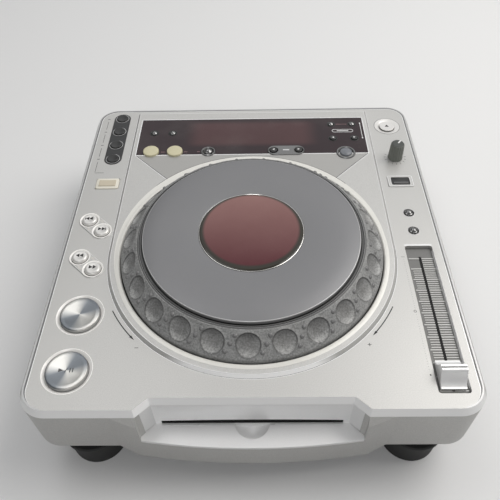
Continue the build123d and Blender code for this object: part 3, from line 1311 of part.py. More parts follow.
with BuildPart() as drive_dampers:
    for place in dampers:
        turned(
            Plane(origin=(*place, 0), x_dir=(1, 0, 0), z_dir=(0, -1, 0)),
            Axis((*place, 0), (0, 0, 1)),
            [
                (DAMPER_POST_R + 0.05, damper_low),
                (DAMPER_R - 0.5, damper_low),
                (DAMPER_R - 0.5, DRIVE_Z - 0.05),
                (DAMPER_NECK_R, DRIVE_Z - 0.05),
                (DAMPER_NECK_R, DRIVE_Z + DRIVE_T + 0.05),
                (DAMPER_R - 0.5, DRIVE_Z + DRIVE_T + 0.05),
                (DAMPER_R - 1.5, damper_low + DAMPER_H),
                (DAMPER_POST_R + 0.05, damper_low + DAMPER_H),
            ],
        )
save(drive_dampers, "drive_dampers")

with BuildPart() as spindle_motor:
    upright((0, SPINDLE_Y), [(MOTOR_R, DRIVE_Z + DRIVE_T, DRIVE_Z + DRIVE_T + MOTOR_H)])
    upright(
        (0, SPINDLE_Y),
        [(SHAFT_R + 0.05, DRIVE_Z + DRIVE_T + 1.5, DRIVE_Z + DRIVE_T + MOTOR_H + 1)],
        Mode.SUBTRACT,
    )
save(spindle_motor, "spindle_motor")

with BuildPart() as turntable:
    table_z = DISC_Z - 0.6
    turned(
        Plane(origin=(0, SPINDLE_Y, 0), x_dir=(1, 0, 0), z_dir=(0, -1, 0)),
        Axis((0, SPINDLE_Y, 0), (0, 0, 1)),
        [
            (0, DRIVE_Z + DRIVE_T + 2.0),
            (SHAFT_R, DRIVE_Z + DRIVE_T + 2.0),
            (SHAFT_R, table_z - 2.5),
            (TURNTABLE_R, table_z - 2.5),
            (TURNTABLE_R, table_z),
            (7.4, table_z),
            (6.8, table_z + 0.8),
            (0, table_z + 0.8),
        ],
    )
save(turntable, "turntable")

with BuildPart() as disc_clamp:
    # A puck over the disc, hung by its neck in the lid.
    clamp_low = table_z + 1.0
    upright(
        (0, SPINDLE_Y),
        [
            (CLAMP_R, clamp_low, clamp_low + 4.0),
            (CLAMP_R - 4.0, clamp_low + 4.0, clamp_low + 5.5),
            (3.0 - RUN_FIT, clamp_low, DRIVE_TOP + 1.0),
            (5.0, DRIVE_TOP, DRIVE_TOP + 1.0),
        ],
    )
save(disc_clamp, "disc_clamp")

with BuildPart() as loading_roller:
    # A waisted rubber roller on a steel shaft, which lets the disc's rim ride clear.
    reach = DRIVE_HALF - DRIVE_WALL - 1.0
    roller_plane = Plane(origin=(0, roller_y, roller_z), x_dir=(1, 0, 0), z_dir=(0, -1, 0))
    revolve(
        polygon(
            roller_plane,
            [
                (-reach, 0),
                (-reach, ROLLER_R),
                (0, ROLLER_R - 0.7),
                (reach, ROLLER_R),
                (reach, 0),
            ],
        ),
        axis=Axis((0, roller_y, roller_z), (1, 0, 0)),
    )
    with BuildSketch(Plane.YZ):
        with Locations((roller_y, roller_z)):
            Circle(ROLLER_SHAFT_R)
    extrude(amount=DRIVE_HALF + 1.5, both=True)
save(loading_roller, "loading_roller")

with BuildPart() as laser_pickup:
    block((0, pickup_y), (2 * ROD_HALF_GAP + 8, PICKUP_L), rod_z - 2.6, rod_z + 2.6, 2.0)
    block((0, pickup_y), (PICKUP_W, PICKUP_L - 4), rod_z - 2.0, rod_z + PICKUP_H - 2.0, 2.0)
    upright((0, pickup_y), [(4.0, rod_z + PICKUP_H - 2.0, rod_z + PICKUP_H - 0.8)])
    with BuildSketch(Plane.XZ.offset(-pickup_y)):
        with Locations(*[(x, rod_z) for x in (-ROD_HALF_GAP, ROD_HALF_GAP)]):
            Circle(ROD_R + RUN_FIT)
    extrude(amount=PICKUP_L, both=True, mode=Mode.SUBTRACT)
save(laser_pickup, "laser_pickup")
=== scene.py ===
"""Looks of a tabletop disc player with a jog dial, built round its CAD frame."""

import json
import math

import bmesh
import bpy
from mathutils import Matrix, Vector


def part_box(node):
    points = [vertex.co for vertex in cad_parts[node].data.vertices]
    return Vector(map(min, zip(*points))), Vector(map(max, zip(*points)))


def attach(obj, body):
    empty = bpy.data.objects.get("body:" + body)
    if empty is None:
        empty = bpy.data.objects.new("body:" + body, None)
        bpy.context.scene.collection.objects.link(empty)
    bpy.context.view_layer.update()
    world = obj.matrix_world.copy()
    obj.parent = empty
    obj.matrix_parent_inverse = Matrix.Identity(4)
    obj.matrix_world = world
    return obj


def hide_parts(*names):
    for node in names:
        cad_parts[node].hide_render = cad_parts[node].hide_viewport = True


bl_info = {
    "name": "Tabletop disc player",
    "version": (1, 0, 0),
    "blender": (4, 5, 0),
    "location": "3D View > Sidebar > Player",
    "description": "Dresses the CAD frame of a tabletop disc player with a jog dial",
    "category": "Object",
}

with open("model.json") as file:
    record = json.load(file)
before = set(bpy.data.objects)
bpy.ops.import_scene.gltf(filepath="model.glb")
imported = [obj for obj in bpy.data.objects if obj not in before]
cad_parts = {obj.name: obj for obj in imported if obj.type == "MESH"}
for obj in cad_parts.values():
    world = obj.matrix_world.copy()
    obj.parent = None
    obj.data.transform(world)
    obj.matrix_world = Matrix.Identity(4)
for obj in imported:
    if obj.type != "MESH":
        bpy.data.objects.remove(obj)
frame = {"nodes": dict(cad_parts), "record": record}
bpy.context.view_layer.update()

# Heights, places and sizes are in millimetres until a mesh is made.
MM = 0.001
NODES = frame["nodes"]
BODIES = frame["record"]["behaviour"]["bodies"]
BODY_OF = {node: body for body, members in BODIES.items() for node in members}
SLOT_OF = {name: made.data.materials[0].name for name, made in NODES.items()}


def box(node):
    """Lowest and highest corner of a CAD node, in millimetres."""
    low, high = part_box(node)
    return low / MM, high / MM


def middle(node):
    """Centre of a CAD node seen from above."""
    low, high = box(node)
    return ((low.x + high.x) / 2, (low.y + high.y) / 2)


# ---- datum of the player
CASE = BODY_OF["top_case"]
CASE_LOW, CASE_HIGH = box("top_case")
PLATE_LOW, PLATE_HIGH = box("jog_plate")
GRIP_LOW, GRIP_HIGH = box("jog_grip")
WINDOW_LOW, WINDOW_HIGH = box("display_window")
JOG = middle("jog_plate")
JOG_SPOT = (JOG[0] * MM, JOG[1] * MM, 0.0)
PLATFORM_Z = WINDOW_HIGH.z + 0.1
PANEL_Z = PLATFORM_Z - 2.2
SCALE_Z = box("fader_scale")[1].z
FRONT_Y = CASE_LOW.y + 8.0
WELL_R = 102.2
PLATFORM_R = 111.9
GRIP_R = GRIP_HIGH.x
PLATE_R = PLATE_HIGH.x
RIM_R = 85.4
LENS_R = 39.8
SLOPE_TOP, SLOPE_FOOT = (86.9, PLATFORM_Z + 17.2), (100.9, PLATFORM_Z + 2.3)
NUB_ROWS = {"Inner": 0.20, "Middle": 0.48, "Outer": 0.76}
KEY_FLANGE = 1.2
KEY_FOOT = PANEL_Z - 3.9


def from_front(x, distance):
    """A place on the panel, given from its front edge."""
    return (x, FRONT_Y + distance)


# ---- outlines
def polar(centre, radius, angle):
    """A point round a centre, its angle in radians from the right, against the clock."""
    return (centre[0] + radius * math.cos(angle), centre[1] + radius * math.sin(angle))


def offsets(x, y, *pairs):
    """Points that are given from a base point."""
    return [(x + a, y + b) for a, b in pairs]


def rounded(width, length, radius, place, steps=6):
    """Outline of a rounded rectangle, from above."""
    radius = max(min(radius, width / 2 - 1e-4, length / 2 - 1e-4), 1e-3)
    outline = []
    for quarter, (i, j) in enumerate(((1, 1), (-1, 1), (-1, -1), (1, -1))):
        corner = (place[0] + i * (width / 2 - radius), place[1] + j * (length / 2 - radius))
        outline += [polar(corner, radius, math.pi / 2 * (quarter + step / steps)) for step in range(steps + 1)]
    return outline


def growing(width, length, radius, place):
    """A rounded rectangle as a function of its growth."""
    return lambda growth: rounded(width + 2 * growth, length + 2 * growth, radius + growth, place)


def stacked(outline_at, profile):
    """Outlines for a loft, from a profile of (growth, height) pairs."""
    return [[(x, y, height) for x, y in outline_at(growth)] for growth, height in profile]


def arc(radius, start, end, steps, centre):
    """Points on an arc, its angles in degrees."""
    return [polar(centre, radius, math.radians(start + (end - start) * k / steps)) for k in range(steps + 1)]


def bar(start, end, width):
    """Outline of a straight line of some width."""
    run = Vector(end) - Vector(start)
    side = Vector((-run.y, run.x)).normalized() * width / 2
    return [tuple(Vector(p) + s) for p, s in ((start, -side), (end, -side), (end, side), (start, side))]


def dash(x, y, half, width, upright=False):
    """Outline of a short level or upright line round its middle."""
    across, along = (0.0, half) if upright else (half, 0.0)
    return bar((x - across, y - along), (x + across, y + along), width)


def arc_bar(centre, radius, width, start, end, steps):
    """Outline of a curved line of some width."""
    return arc(radius + width / 2, start, end, steps, centre) + arc(radius - width / 2, end, start, steps, centre)


def turned_about(outline, centre, degrees):
    """An outline turned about a point."""
    cos, sin = math.cos(math.radians(degrees)), math.sin(math.radians(degrees))
    return [
        (
            centre[0] + (x - centre[0]) * cos - (y - centre[1]) * sin,
            centre[1] + (x - centre[0]) * sin + (y - centre[1]) * cos,
        )
        for x, y in outline
    ]


def triangle(centre, width, height, degrees=0.0):
    """A triangle that points to the right before it is turned."""
    shape = offsets(*centre, (-width / 2, -height / 2), (width / 2, 0.0), (-width / 2, height / 2))
    return turned_about(shape, centre, degrees)


# ---- meshes
class Form:
    """Points and faces of a mesh in the making, with a UV for every face corner."""

    def __init__(self):
        self.points, self.faces, self.uvs, self.finishes = [], [], [], []

    def point(self, x, y, z):
        self.points.append((x, y, z))
        return len(self.points) - 1

    def face(self, corners, finish=0, uvs=None):
        self.faces.append(corners)
        self.finishes.append(finish)
        self.uvs.append(uvs or [(0.0, 0.0)] * len(corners))

    def lathe(self, profile, place, segments=96, ring=False, finish=0):
        """Turn (radius, height) pairs about an upright axis; a ring closes on itself.

        One finish goes all over, and a list of them gives each strip its own.
        """
        rows = []
        for radius, height in profile:
            around = range(1 if radius < 1e-6 else segments)
            rows.append([self.point(*polar(place, radius, 2 * math.pi * k / segments), height) for k in around])
        strips = list(zip(rows, rows[1:])) + ([(rows[-1], rows[0])] if ring else [])
        for level, (low, high) in enumerate(strips):
            for k in range(segments):
                left, right = k / segments, (k + 1) / segments
                corners, uvs = [], []
                for row, height in ((low, level), (high, level + 1)):
                    pair = [(row[0], (left + right) / 2)]
                    if len(row) > 1:
                        pair = [(row[k], left), (row[(k + 1) % segments], right)]
                    for corner, u in pair if row is low else pair[::-1]:
                        corners.append(corner)
                        uvs.append((u, height / len(strips)))
                if len(corners) > 2:
                    self.face(corners, finish if isinstance(finish, int) else finish[level], uvs)
        return self

    def ring(self, place, radius, level, *pairs, segments=96, finish=0):
        """Turn a closed profile, given by offsets from a radius and a level."""
        return self.lathe(offsets(radius, level, *pairs), place, segments, ring=True, finish=finish)

    def loft(self, outlines, ring=False, finish=0):
        """Skin a stack of outlines of as many points each, and close its ends."""
        rows = [[self.point(*corner) for corner in outline] for outline in outlines]
        count = len(rows[0])
        for low, high in list(zip(rows, rows[1:])) + ([(rows[-1], rows[0])] if ring else []):
            for k in range(count):
                after = (k + 1) % count
                self.face([low[k], low[after], high[after], high[k]], finish)
        if not ring:
            self.face(rows[0][::-1], finish)
            self.face(rows[-1], finish)
        return self

    def prism(self, outline, low, high, finish=0):
        """A flat shape with straight sides."""
        return self.loft([[(x, y, z) for x, y in outline] for z in (low, high)], finish=finish)

    def raised(self, outline, level, height, finish=0, sink=0.2):
        """A flat shape that stands proud of a level, with its foot sunk below it."""
        return self.prism(outline, level - sink, level + height, finish)

    def band(self, outline_at, inner, outer, low, high, finish=0):
        """A thin raised line that follows an outline, between two growths of it."""
        profile = ((inner, low), (outer, low), (outer, high), (inner, high))
        return self.loft(stacked(outline_at, profile), ring=True, finish=finish)

    def mesh(self, name):
        made = bpy.data.meshes.new(name)
        made.from_pydata([(x * MM, y * MM, z * MM) for x, y, z in self.points], [], self.faces)
        return made


def settle(mesh, weld=True):
    """Turn a mesh's normals outwards, after joining its doubled points."""
    work = bmesh.new()
    work.from_mesh(mesh)
    if weld:
        bmesh.ops.remove_doubles(work, verts=work.verts, dist=1e-7)
    bmesh.ops.recalc_face_normals(work, faces=work.faces)
    work.to_mesh(mesh)
    work.free()


def piece(name, form, finishes, body, slot, replaces=(), sharp=32.0):
    """Make an object of a form: closed, normals outwards, riding on its body."""
    mesh = form.mesh(name)
    layer = mesh.uv_layers.new(name="around")
    for polygon, uvs, number in zip(mesh.polygons, form.uvs, form.finishes):
        polygon.material_index = number
        for loop, uv in zip(polygon.loop_indices, uvs):
            layer.data[loop].uv = uv
    settle(mesh)
    dress(name, mesh, finishes, body, slot, replaces, sharp)


def trim(name, form, finishes, slot="silver_case", sharp=40.0):
    """A piece that is fixed to the case and replaces nothing."""
    piece(name, form, finishes, CASE, slot, (), sharp)


def dress(name, mesh, finishes, body, slot, replaces=(), sharp=32.0):
    """Link a finished mesh, give it its materials, parent it to its body and hide the CAD nodes it replaces."""
    made = bpy.data.objects.new(name, mesh)
    bpy.context.scene.collection.objects.link(made)
    numbers = [0] * len(mesh.polygons)
    mesh.polygons.foreach_get("material_index", numbers)
    mesh.materials.clear()
    for finish in finishes:
        mesh.materials.append(surface(finish))
    mesh.polygons.foreach_set("material_index", numbers)
    mesh.shade_smooth()
    mesh.set_sharp_from_angle(angle=math.radians(sharp))
    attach(made, body)
    if replaces:
        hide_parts(*replaces)


# ---- nodes
def feed(made, inputs):
    """Set or link the inputs of a node, by name or number."""
    for key, value in inputs.items():
        if isinstance(value, Value):
            made.id_data.links.new(value.plug, made.inputs[key])
        else:
            made.inputs[key].default_value = value


def node(tree, kind, inputs=None, out=None, **settings):
    """Add a shader node, or another kind given in full, with its properties and inputs.

    Returns the node, or one of its outputs.
    """
    made = tree.nodes.new(kind if "Node" in kind else "ShaderNode" + kind)
    for key, value in settings.items():
        setattr(made, key, value)
    feed(made, inputs or {})
    return made if out is None else Value(made.outputs[out])


def calc(tree, operation, *values, kind="Math", out=0):
    """The result of a maths node."""
    return node(tree, kind, dict(enumerate(values)), out, operation=operation)


def term(operation, swapped=False):
    """What a Value does for one sign of a sum."""

    def method(self, other):
        return calc(self.plug.id_data, operation, *((other, self) if swapped else (self, other)))

    return method


class Value:
    """An output of a node. A sum that it stands in adds maths nodes to its tree."""

    def __init__(self, plug):
        self.plug = plug

    __add__, __radd__ = term("ADD"), term("ADD", True)
    __sub__, __rsub__ = term("SUBTRACT"), term("SUBTRACT", True)
    __mul__, __rmul__ = term("MULTIPLY"), term("MULTIPLY", True)
    __truediv__, __rtruediv__ = term("DIVIDE"), term("DIVIDE", True)

    def calc(self, operation, *others, **more):
        return calc(self.plug.id_data, operation, self, *others, **more)

    def vector(self, operation, *others, out=0):
        return self.calc(operation, *others, kind="VectorMath", out=out)

    def axes(self):
        return [Value(plug) for plug in node(self.plug.id_data, "SeparateXYZ", {0: self}).outputs]

    def ranged(self, start, end, low=0.0, high=1.0, smooth=False):
        """Low at the start and high at the end of a range."""
        return node(
            self.plug.id_data, "MapRange", {0: self, 1: start, 2: end, 3: low, 4: high}, 0,
            interpolation_type="SMOOTHSTEP" if smooth else "LINEAR",
        )


def blended(tree, factor, first, second, mode="MIX"):
    """Two colours mixed."""
    inputs = {0: factor, 6: first, 7: second}
    return node(tree, "Mix", inputs, 2, data_type="RGBA", blend_type=mode)


def new_tree(kind, name, inputs, outputs):
    """An empty node tree with named sockets, each given by its kind or its default.

    Returns the tree, a function that gives an input by its name, and the end node.
    """
    tree = bpy.data.node_groups.new(name, kind)
    for in_out, sockets in (("INPUT", inputs), ("OUTPUT", outputs)):
        for title, what in sockets.items():
            named = isinstance(what, str)
            sort = what if named else "Float" if isinstance(what, float) else {3: "Vector", 4: "Color"}[len(what)]
            socket = tree.interface.new_socket(title, in_out=in_out, socket_type="NodeSocket" + sort)
            if not named:
                socket.default_value = what
    start = tree.nodes.new("NodeGroupInput")
    return tree, lambda title: Value(start.outputs[title]), tree.nodes.new("NodeGroupOutput")


def object_place(tree):
    return node(tree, "TexCoord", out="Object")


def grain_group():
    """Fine grain and slow clouds on a colour, its roughness and its height."""
    tree, given, end = new_tree(
        "ShaderNodeTree", "surface_grain",
        {
            "Colour": (0.5, 0.5, 0.5, 1.0), "Roughness": 0.5, "Grain Scale": 1500.0, "Grain Contrast": 0.1,
            "Cloud Scale": 14.0, "Cloud Contrast": 0.06, "Roughness Spread": 0.08,
        },
        {"Colour": "Color", "Roughness": "Float", "Height": "Float"},
    )
    place = object_place(tree)
    grain, cloud = (
        node(
            tree, "TexNoise",
            {"Vector": place, "Scale": given(scale), "Detail": detail, "Roughness": roughness}, "Fac",
        )
        for scale, detail, roughness in (("Grain Scale", 2.0, 0.6), ("Cloud Scale", 4.0, 0.55))
    )
    fine = (grain - 0.5) * given("Grain Contrast")
    slow = (cloud - 0.5) * given("Cloud Contrast")
    tone = 1.0 + (fine + slow) * 2.0
    grey = node(tree, "CombineColor", {0: tone, 1: tone, 2: tone}, 0)
    feed(
        end,
        {
            "Colour": blended(tree, 1.0, given("Colour"), grey, "MULTIPLY"),
            "Roughness": given("Roughness") + (cloud - 0.5) * given("Roughness Spread") * 2.0,
            "Height": grain,
        },
    )
    return tree


def dust_group():
    """Specks and thin smears that settle on surfaces that face up."""
    tree, given, end = new_tree(
        "ShaderNodeTree", "settled_dust",
        {"Colour": (0.5, 0.5, 0.5, 1.0), "Amount": 0.3, "Speck Scale": 900.0}, {"Colour": "Color"},
    )
    place = object_place(tree)
    facing = node(tree, "NewGeometry", out="Normal").axes()[2].ranged(0.3, 0.9)
    specks = node(tree, "TexVoronoi", {"Vector": place, "Scale": given("Speck Scale")}, "Distance")
    patch = node(tree, "TexNoise", {"Vector": place, "Scale": 30.0, "Detail": 5.0}, "Fac")
    where = patch.ranged(0.45, 0.75)
    haze = where * 0.18
    mask = (specks.ranged(0.16, 0.08) * where + haze) * facing * given("Amount")
    feed(end, {"Colour": blended(tree, mask, given("Colour"), (0.45, 0.43, 0.40, 1.0))})
    return tree


def spun_group():
    """Fine turned grooves round an upright axis."""
    tree, given, end = new_tree(
        "ShaderNodeTree", "turned_grooves",
        {"Centre": (0.0, 0.0, 0.0), "Groove Scale": 2200.0}, {"Height": "Float", "Radius": "Float"},
    )
    flat = object_place(tree).vector("SUBTRACT", given("Centre")).vector("MULTIPLY", (1.0, 1.0, 0.0))
    radius = flat.vector("LENGTH", out="Value")
    inputs = {"W": radius * given("Groove Scale"), "Scale": 1.0, "Detail": 2.0}
    groove = node(tree, "TexNoise", inputs, "Fac", noise_dimensions="1D")
    feed(end, {"Height": groove, "Radius": radius})
    return tree


GROUPS = {}


def group(tree, maker, **inputs):
    """Place a shared shader group, with its own values; returns its outputs by name."""
    if maker.__name__ not in GROUPS:
        GROUPS[maker.__name__] = maker()
    made = tree.nodes.new("ShaderNodeGroup")
    made.node_tree = GROUPS[maker.__name__]
    feed(made, {title.replace("_", " "): value for title, value in inputs.items()})
    return lambda title: Value(made.outputs[title])


# ---- finishes
def shade(level, green=1.0, blue=1.0):
    """A grey of one level, which may have a slight tint."""
    return (level, level * green, level * blue, 1.0)


WARM = (0.985, 0.955)
# Grey level, colour or main colour, then roughness, metallic, scale and contrast of
# the grain, bump, rounded edge, dust, scale and contrast of the clouds, and how
# much painted highlight whitens the slanted front.
FINISHES = {
    "silver_case": ("case", 0.40, 0.35, 1500.0, 0.20, 0.12, 0.35, 0.10, (9.0, 0.03), 0.9),
    "inlay": (shade(0.40, 0.985, 0.95), 0.42, 0.35, 2400.0, 0.10, 0.08),
    "pair_plate": (shade(0.60, 0.975, 0.92), 0.40, 0.2, 2200.0, 0.06, 0.05),
    "grip_ledge": (0.105, 0.5, 0.0, 1400.0, 0.15, 0.1, 0.0, 0.4),
    "nub_rubber": (0.20, 0.17, 0.0, 1600.0, 0.05),
    "rim_metal": (0.34, 0.3, 0.7, 1600.0, 0.05),
    "shelf_silver": (0.88, 0.38, 0.35, 2600.0, 0.08, 0.08, 0.3, 0.05),
    "plate_edge": (0.62, 0.35, 0.3, 1600.0, 0.05),
    "plate_wall": (0.30, 0.45, 0.3, 1600.0, 0.08),
    "recess_wall": (0.90, 0.45, 0.2, 1800.0, 0.08),
    "eject_bowl": (shade(0.74, *WARM), 0.32, 0.4, 2000.0, 0.05),
    "edge_strip": (0.50, 0.38, 0.5, 1800.0, 0.08),
    "seam": (0.075, 0.7, 0.0, 1800.0, 0.15),
    "soft_seam": (0.17, 0.6, 0.2, 1800.0, 0.12),
    "bright_edge": (0.86, 0.28, 0.2, 1600.0, 0.04),
    "satin_ring": (0.20, 0.35, 0.75, 1600.0, 0.08, 0.04),
    "grey_steel": (0.10, 0.5, 0.4, 900.0, 0.12, 0.15, 0.4),
    "black_rubber": (0.018, 0.7, 0.0, 700.0, 0.2, 0.3),
    "zinc_steel": (0.55, 0.3, 1.0, 1200.0, 0.1, 0.05),
    "display": ((0.05, 0.01, 0.01, 1.0), 0.3, 0.0, 600.0, 0.1),
    "bright_trim": (shade(0.72, *WARM), 0.22, 0.9, 1600.0, 0.05, 0.03),
    "well_lip": (shade(0.76, 0.985, 0.93), 0.30, 0.1, 1600.0, 0.05, 0.03),
    "black_plastic": (0.012, 0.42, 0.0, 1400.0, 0.2, 0.08, 0.0, 0.05),
    "slot_felt": (0.008, 0.95, 0.0, 2600.0, 0.5, 0.3, 0.0, 0.0, (60.0, 0.2)),
    "black_gap": (0.004, 0.8, 0.0, 1400.0, 0.2),
    "grey_plate": (shade(0.17, 0.995, 0.965), 0.5, 0.2, 1800.0, 0.12, 0.1),
    "scale_rib": (shade(0.52, 0.995, 0.965), 0.45, 0.2, 1800.0, 0.08, 0.05),
    "grey_plastic": (0.08, 0.5, 0.0, 1200.0, 0.1, 0.1),
    "white_plastic": (0.75, 0.4, 0.0, 1200.0, 0.04, 0.04),
    "circuit_board": ((0.02, 0.09, 0.035, 1.0), 0.4, 0.0, 400.0, 0.2, 0.05),
    "silver_key": (shade(0.72, *WARM), 0.34, 0.45, 1800.0, 0.05, 0.03),
    "key_wall": (0.42, 0.35, 0.7, 1500.0, 0.08, 0.03),
    "pair_wall": (shade(0.14, *WARM), 0.35, 0.5, 1500.0, 0.06, 0.03),
    "cream_key": ((0.60, 0.56, 0.38, 1.0), 0.42, 0.0, 1500.0, 0.06, 0.06),
    "ivory_key": ((0.74, 0.71, 0.62, 1.0), 0.38, 0.0, 1500.0, 0.04, 0.05),
    "peach_key": ((0.56, 0.50, 0.39, 1.0), 0.45, 0.0, 1500.0, 0.05, 0.05),
    "slate_key": ((0.17, 0.18, 0.20, 1.0), 0.28, 0.0, 1500.0, 0.06, 0.04),
    "loop_bezel": ((0.02134, 0.02156, 0.02266, 1.0), 0.36, 0.0, 1500.0, 0.10, 0.05),
    "gloss_key": (0.24, 0.18, 0.92, 1500.0, 0.08),
    "grey_key": (0.12, 0.4, 0.0, 1500.0, 0.1, 0.06),
    "dark_key": (0.022, 0.35, 0.0, 1500.0, 0.15, 0.06),
    "black_print": (0.006, 0.5),
    "key_print": (0.09, 0.5),
    "grey_print": (0.16, 0.5),
    "dark_print": (0.012, 0.5),
    "pink_print": ((0.34, 0.20, 0.21, 1.0), 0.5),
    "white_print": (0.78, 0.5, 0.0, 1500.0, 0.05),
    "light_ring": (0.62, 0.3, 0.4, 1500.0, 0.06),
    "key_collar": (shade(0.95, *WARM), 0.32, 0.1, 2000.0, 0.05, 0.04),
    "knob_face": (0.90, 0.30, 0.3, 1600.0, 0.05, 0.04),
    "knob_top": ((0.055, 0.060, 0.055, 1.0), 0.5, 0.0, 1500.0, 0.15, 0.1),
    "knob_body": ((0.175, 0.185, 0.165, 1.0), 0.42, 0.0, 1500.0, 0.15, 0.1),
}


def colour_of(name):
    """A main colour, as the sidebar sets it."""
    return (*getattr(bpy.context.scene.player_colours, name), 1.0)


def start_material(name):
    """A material with a bare Principled shader; returns it, its tree and the shader."""
    material = bpy.data.materials.new(name)
    material.use_nodes = True
    tree = material.node_tree
    tree.nodes.clear()
    out = tree.nodes.new("ShaderNodeOutputMaterial")
    shader = node(tree, "BsdfPrincipled")
    tree.links.new(shader.outputs[0], out.inputs["Surface"])
    return material, tree, shader


def coat(shader, colour, roughness, grain, cloud, spread=0.08, dust=0.0, speck=900.0, change=None):
    """Give a shader its colour and roughness; returns the height of their grain.

    Grain and clouds each have a scale and a contrast. The colour may be changed
    under its dust.
    """
    made = group(
        shader.id_data, grain_group, Colour=colour, Roughness=roughness, Grain_Scale=grain[0],
        Grain_Contrast=grain[1], Cloud_Scale=cloud[0], Cloud_Contrast=cloud[1], Roughness_Spread=spread,
    )
    tone = made("Colour")
    if change:
        tone = change(tone)
    if dust:
        tone = group(shader.id_data, dust_group, Colour=tone, Amount=dust, Speck_Scale=speck)("Colour")
    feed(shader, {"Base Color": tone, "Roughness": made("Roughness")})
    return made("Height")


def bumped(tree, height, strength, **under):
    """The normal of a bump node, on top of another normal if one is given."""
    return node(tree, "Bump", {"Height": height, "Strength": strength, "Distance": 0.0001, **under}, 0)


def surface(name):
    """The material of one finish, made the first time it is asked for."""
    if name in bpy.data.materials and bpy.data.materials[name].get("player_finish"):
        return bpy.data.materials[name]
    if name in bpy.data.materials:
        bpy.data.materials[name].name = name + "_frame"
    material, tree, shader = start_material(name)
    recipe, *values = RECIPES[name] if name in RECIPES else (plain, *FINISHES[name])
    recipe(tree, shader, *values)
    material["player_finish"] = True
    return material


def front_bevel(tree):
    """A mask of the slanted edge along the front of the panel, where a highlight is painted."""
    place = object_place(tree).axes()
    lean = node(tree, "NewGeometry", out="Normal").axes()
    mask = 1.0
    for value, none, full in (
        (place[1], (FRONT_Y + 42.0) * MM, (FRONT_Y + 34.0) * MM),
        (place[2], (PANEL_Z - 5.3) * MM, (PANEL_Z - 4.9) * MM),
        (lean[1], -0.15, -0.45),
        (lean[2], 0.25, 0.42),
        (lean[2], 0.93, 0.80),
    ):
        mask = mask * value.ranged(none, full)
    return mask


def plain(
    tree, shader, colour, roughness, metallic=0.0, scale=1500.0, contrast=0.1, bump=0.0, edge=0.0, dust=0.0,
    cloud=(14.0, 0.05), slant=0.0,
):
    """A painted, moulded or metal finish with grain, clouds, rounded edges and, where asked, a painted highlight on
    the panel's slanted front.
    """
    if isinstance(colour, str):
        colour = colour_of(colour)
    elif isinstance(colour, float):
        colour = shade(colour)
    feed(shader, {"Metallic": metallic})

    # Painted highlight: the slanted front edge of the panel is blended towards white and loses its metallic.
    def whiter(tone):
        mask = front_bevel(tree) * slant
        feed(shader, {"Metallic": (1.0 - mask) * metallic})
        return blended(tree, mask, tone, (1.0, 1.0, 1.0, 1.0))

    change = whiter if slant else None
    height = coat(shader, colour, roughness, (scale, contrast), cloud, dust=dust, change=change)
    normal = {}
    if edge:
        normal["Normal"] = node(tree, "Bevel", {"Radius": edge * MM}, 0, samples=6)
    if bump:
        normal["Normal"] = bumped(tree, height, bump, **normal)
    feed(shader, normal)


def smoked_window(tree, shader):
    """Dark plum gloss with a faint red field where the display lies."""
    low, high = box("display_module")
    centre = (low + high) / 2 * MM
    inputs = {"Vector": object_place(tree), "Location": (-centre.x, -centre.y, 0.0)}
    across, along, _ = node(tree, "Mapping", inputs, 0).vector("ABSOLUTE").axes()
    half_x, half_y, soft_x, soft_y = 0.066, 0.021, 0.020, 0.008
    field = across.ranged(half_x, half_x - soft_x, smooth=True) * along.ranged(half_y, half_y - soft_y, smooth=True)
    colour = blended(tree, field, colour_of("window"), colour_of("display"))
    coat(shader, colour, 0.16, (1500.0, 0.03), (25.0, 0.12), 0.05, 0.22, 600.0)
    feed(shader, {"Specular IOR Level": 0.25})


def smoked_lens(tree, shader):
    """Red smoked lens: a deep red field inside a dark olive band."""
    centre_y = JOG_SPOT[1]
    radius = group(tree, spun_group, Centre=(JOG_SPOT[0], centre_y + 0.0018, 0.0))("Radius")
    rise = object_place(tree).axes()[1].ranged(centre_y - 0.036, centre_y + 0.036)
    field = blended(tree, rise, (0.080, 0.010, 0.016, 1.0), (0.255, 0.130, 0.120, 1.0))
    colour = blended(tree, radius.ranged(0.0352, 0.0374), field, (0.030, 0.027, 0.020, 1.0))
    coat(shader, colour, 0.12, (1500.0, 0.04), (30.0, 0.10), 0.06, 0.10)
    feed(shader, {"Specular IOR Level": 0.35})


def grip_rubber(tree, shader):
    """Mottled grey rubber: its dimples are darker, with a painted highlight on their outer side, painted shade on
    their inner side and a painted dark shade line round their edge.
    """
    lift, edge, fall = (
        node(tree, "Attribute", out="Fac", attribute_name=name)
        for name in ("dimple", "dimple_edge", "dimple_fall")
    )
    colour = blended(tree, lift.ranged(0.0, 1.0), colour_of("grip"), colour_of("grip_dimple"))
    # Painted highlight on each dimple's outer side, painted shade on its inner side, and a painted dark shade line
    # round its edge that is weaker where the highlight is.
    painted_highlight = fall.ranged(0.15, 0.98, smooth=True)
    painted_shade = fall.ranged(-0.1, -0.98, smooth=True)
    colour = blended(tree, painted_shade * 0.65, colour, (0.060, 0.060, 0.060, 1.0))
    colour = blended(tree, painted_highlight * 0.55, colour, (0.52, 0.52, 0.51, 1.0))
    colour = blended(tree, edge * painted_highlight.ranged(0.0, 1.0, 0.85, 0.25), colour, (0.012, 0.012, 0.012, 1.0))
    height = coat(shader, colour, 0.5, (800.0, 0.85), (110.0, 0.30), 0.10, 0.9, 300.0)
    feed(shader, {"Normal": bumped(tree, height, 0.25)})


def grey_aluminium(tree, shader):
    """Satin grey plate with barely seen turned grooves."""
    coat(shader, colour_of("plate"), 0.42, (2400.0, 0.06), (11.0, 0.04), 0.05, 0.10)
    grooves = group(tree, spun_group, Centre=JOG_SPOT, Groove_Scale=2600.0)
    feed(shader, {"Normal": bumped(tree, grooves("Height"), 0.05), "Metallic": 0.45})


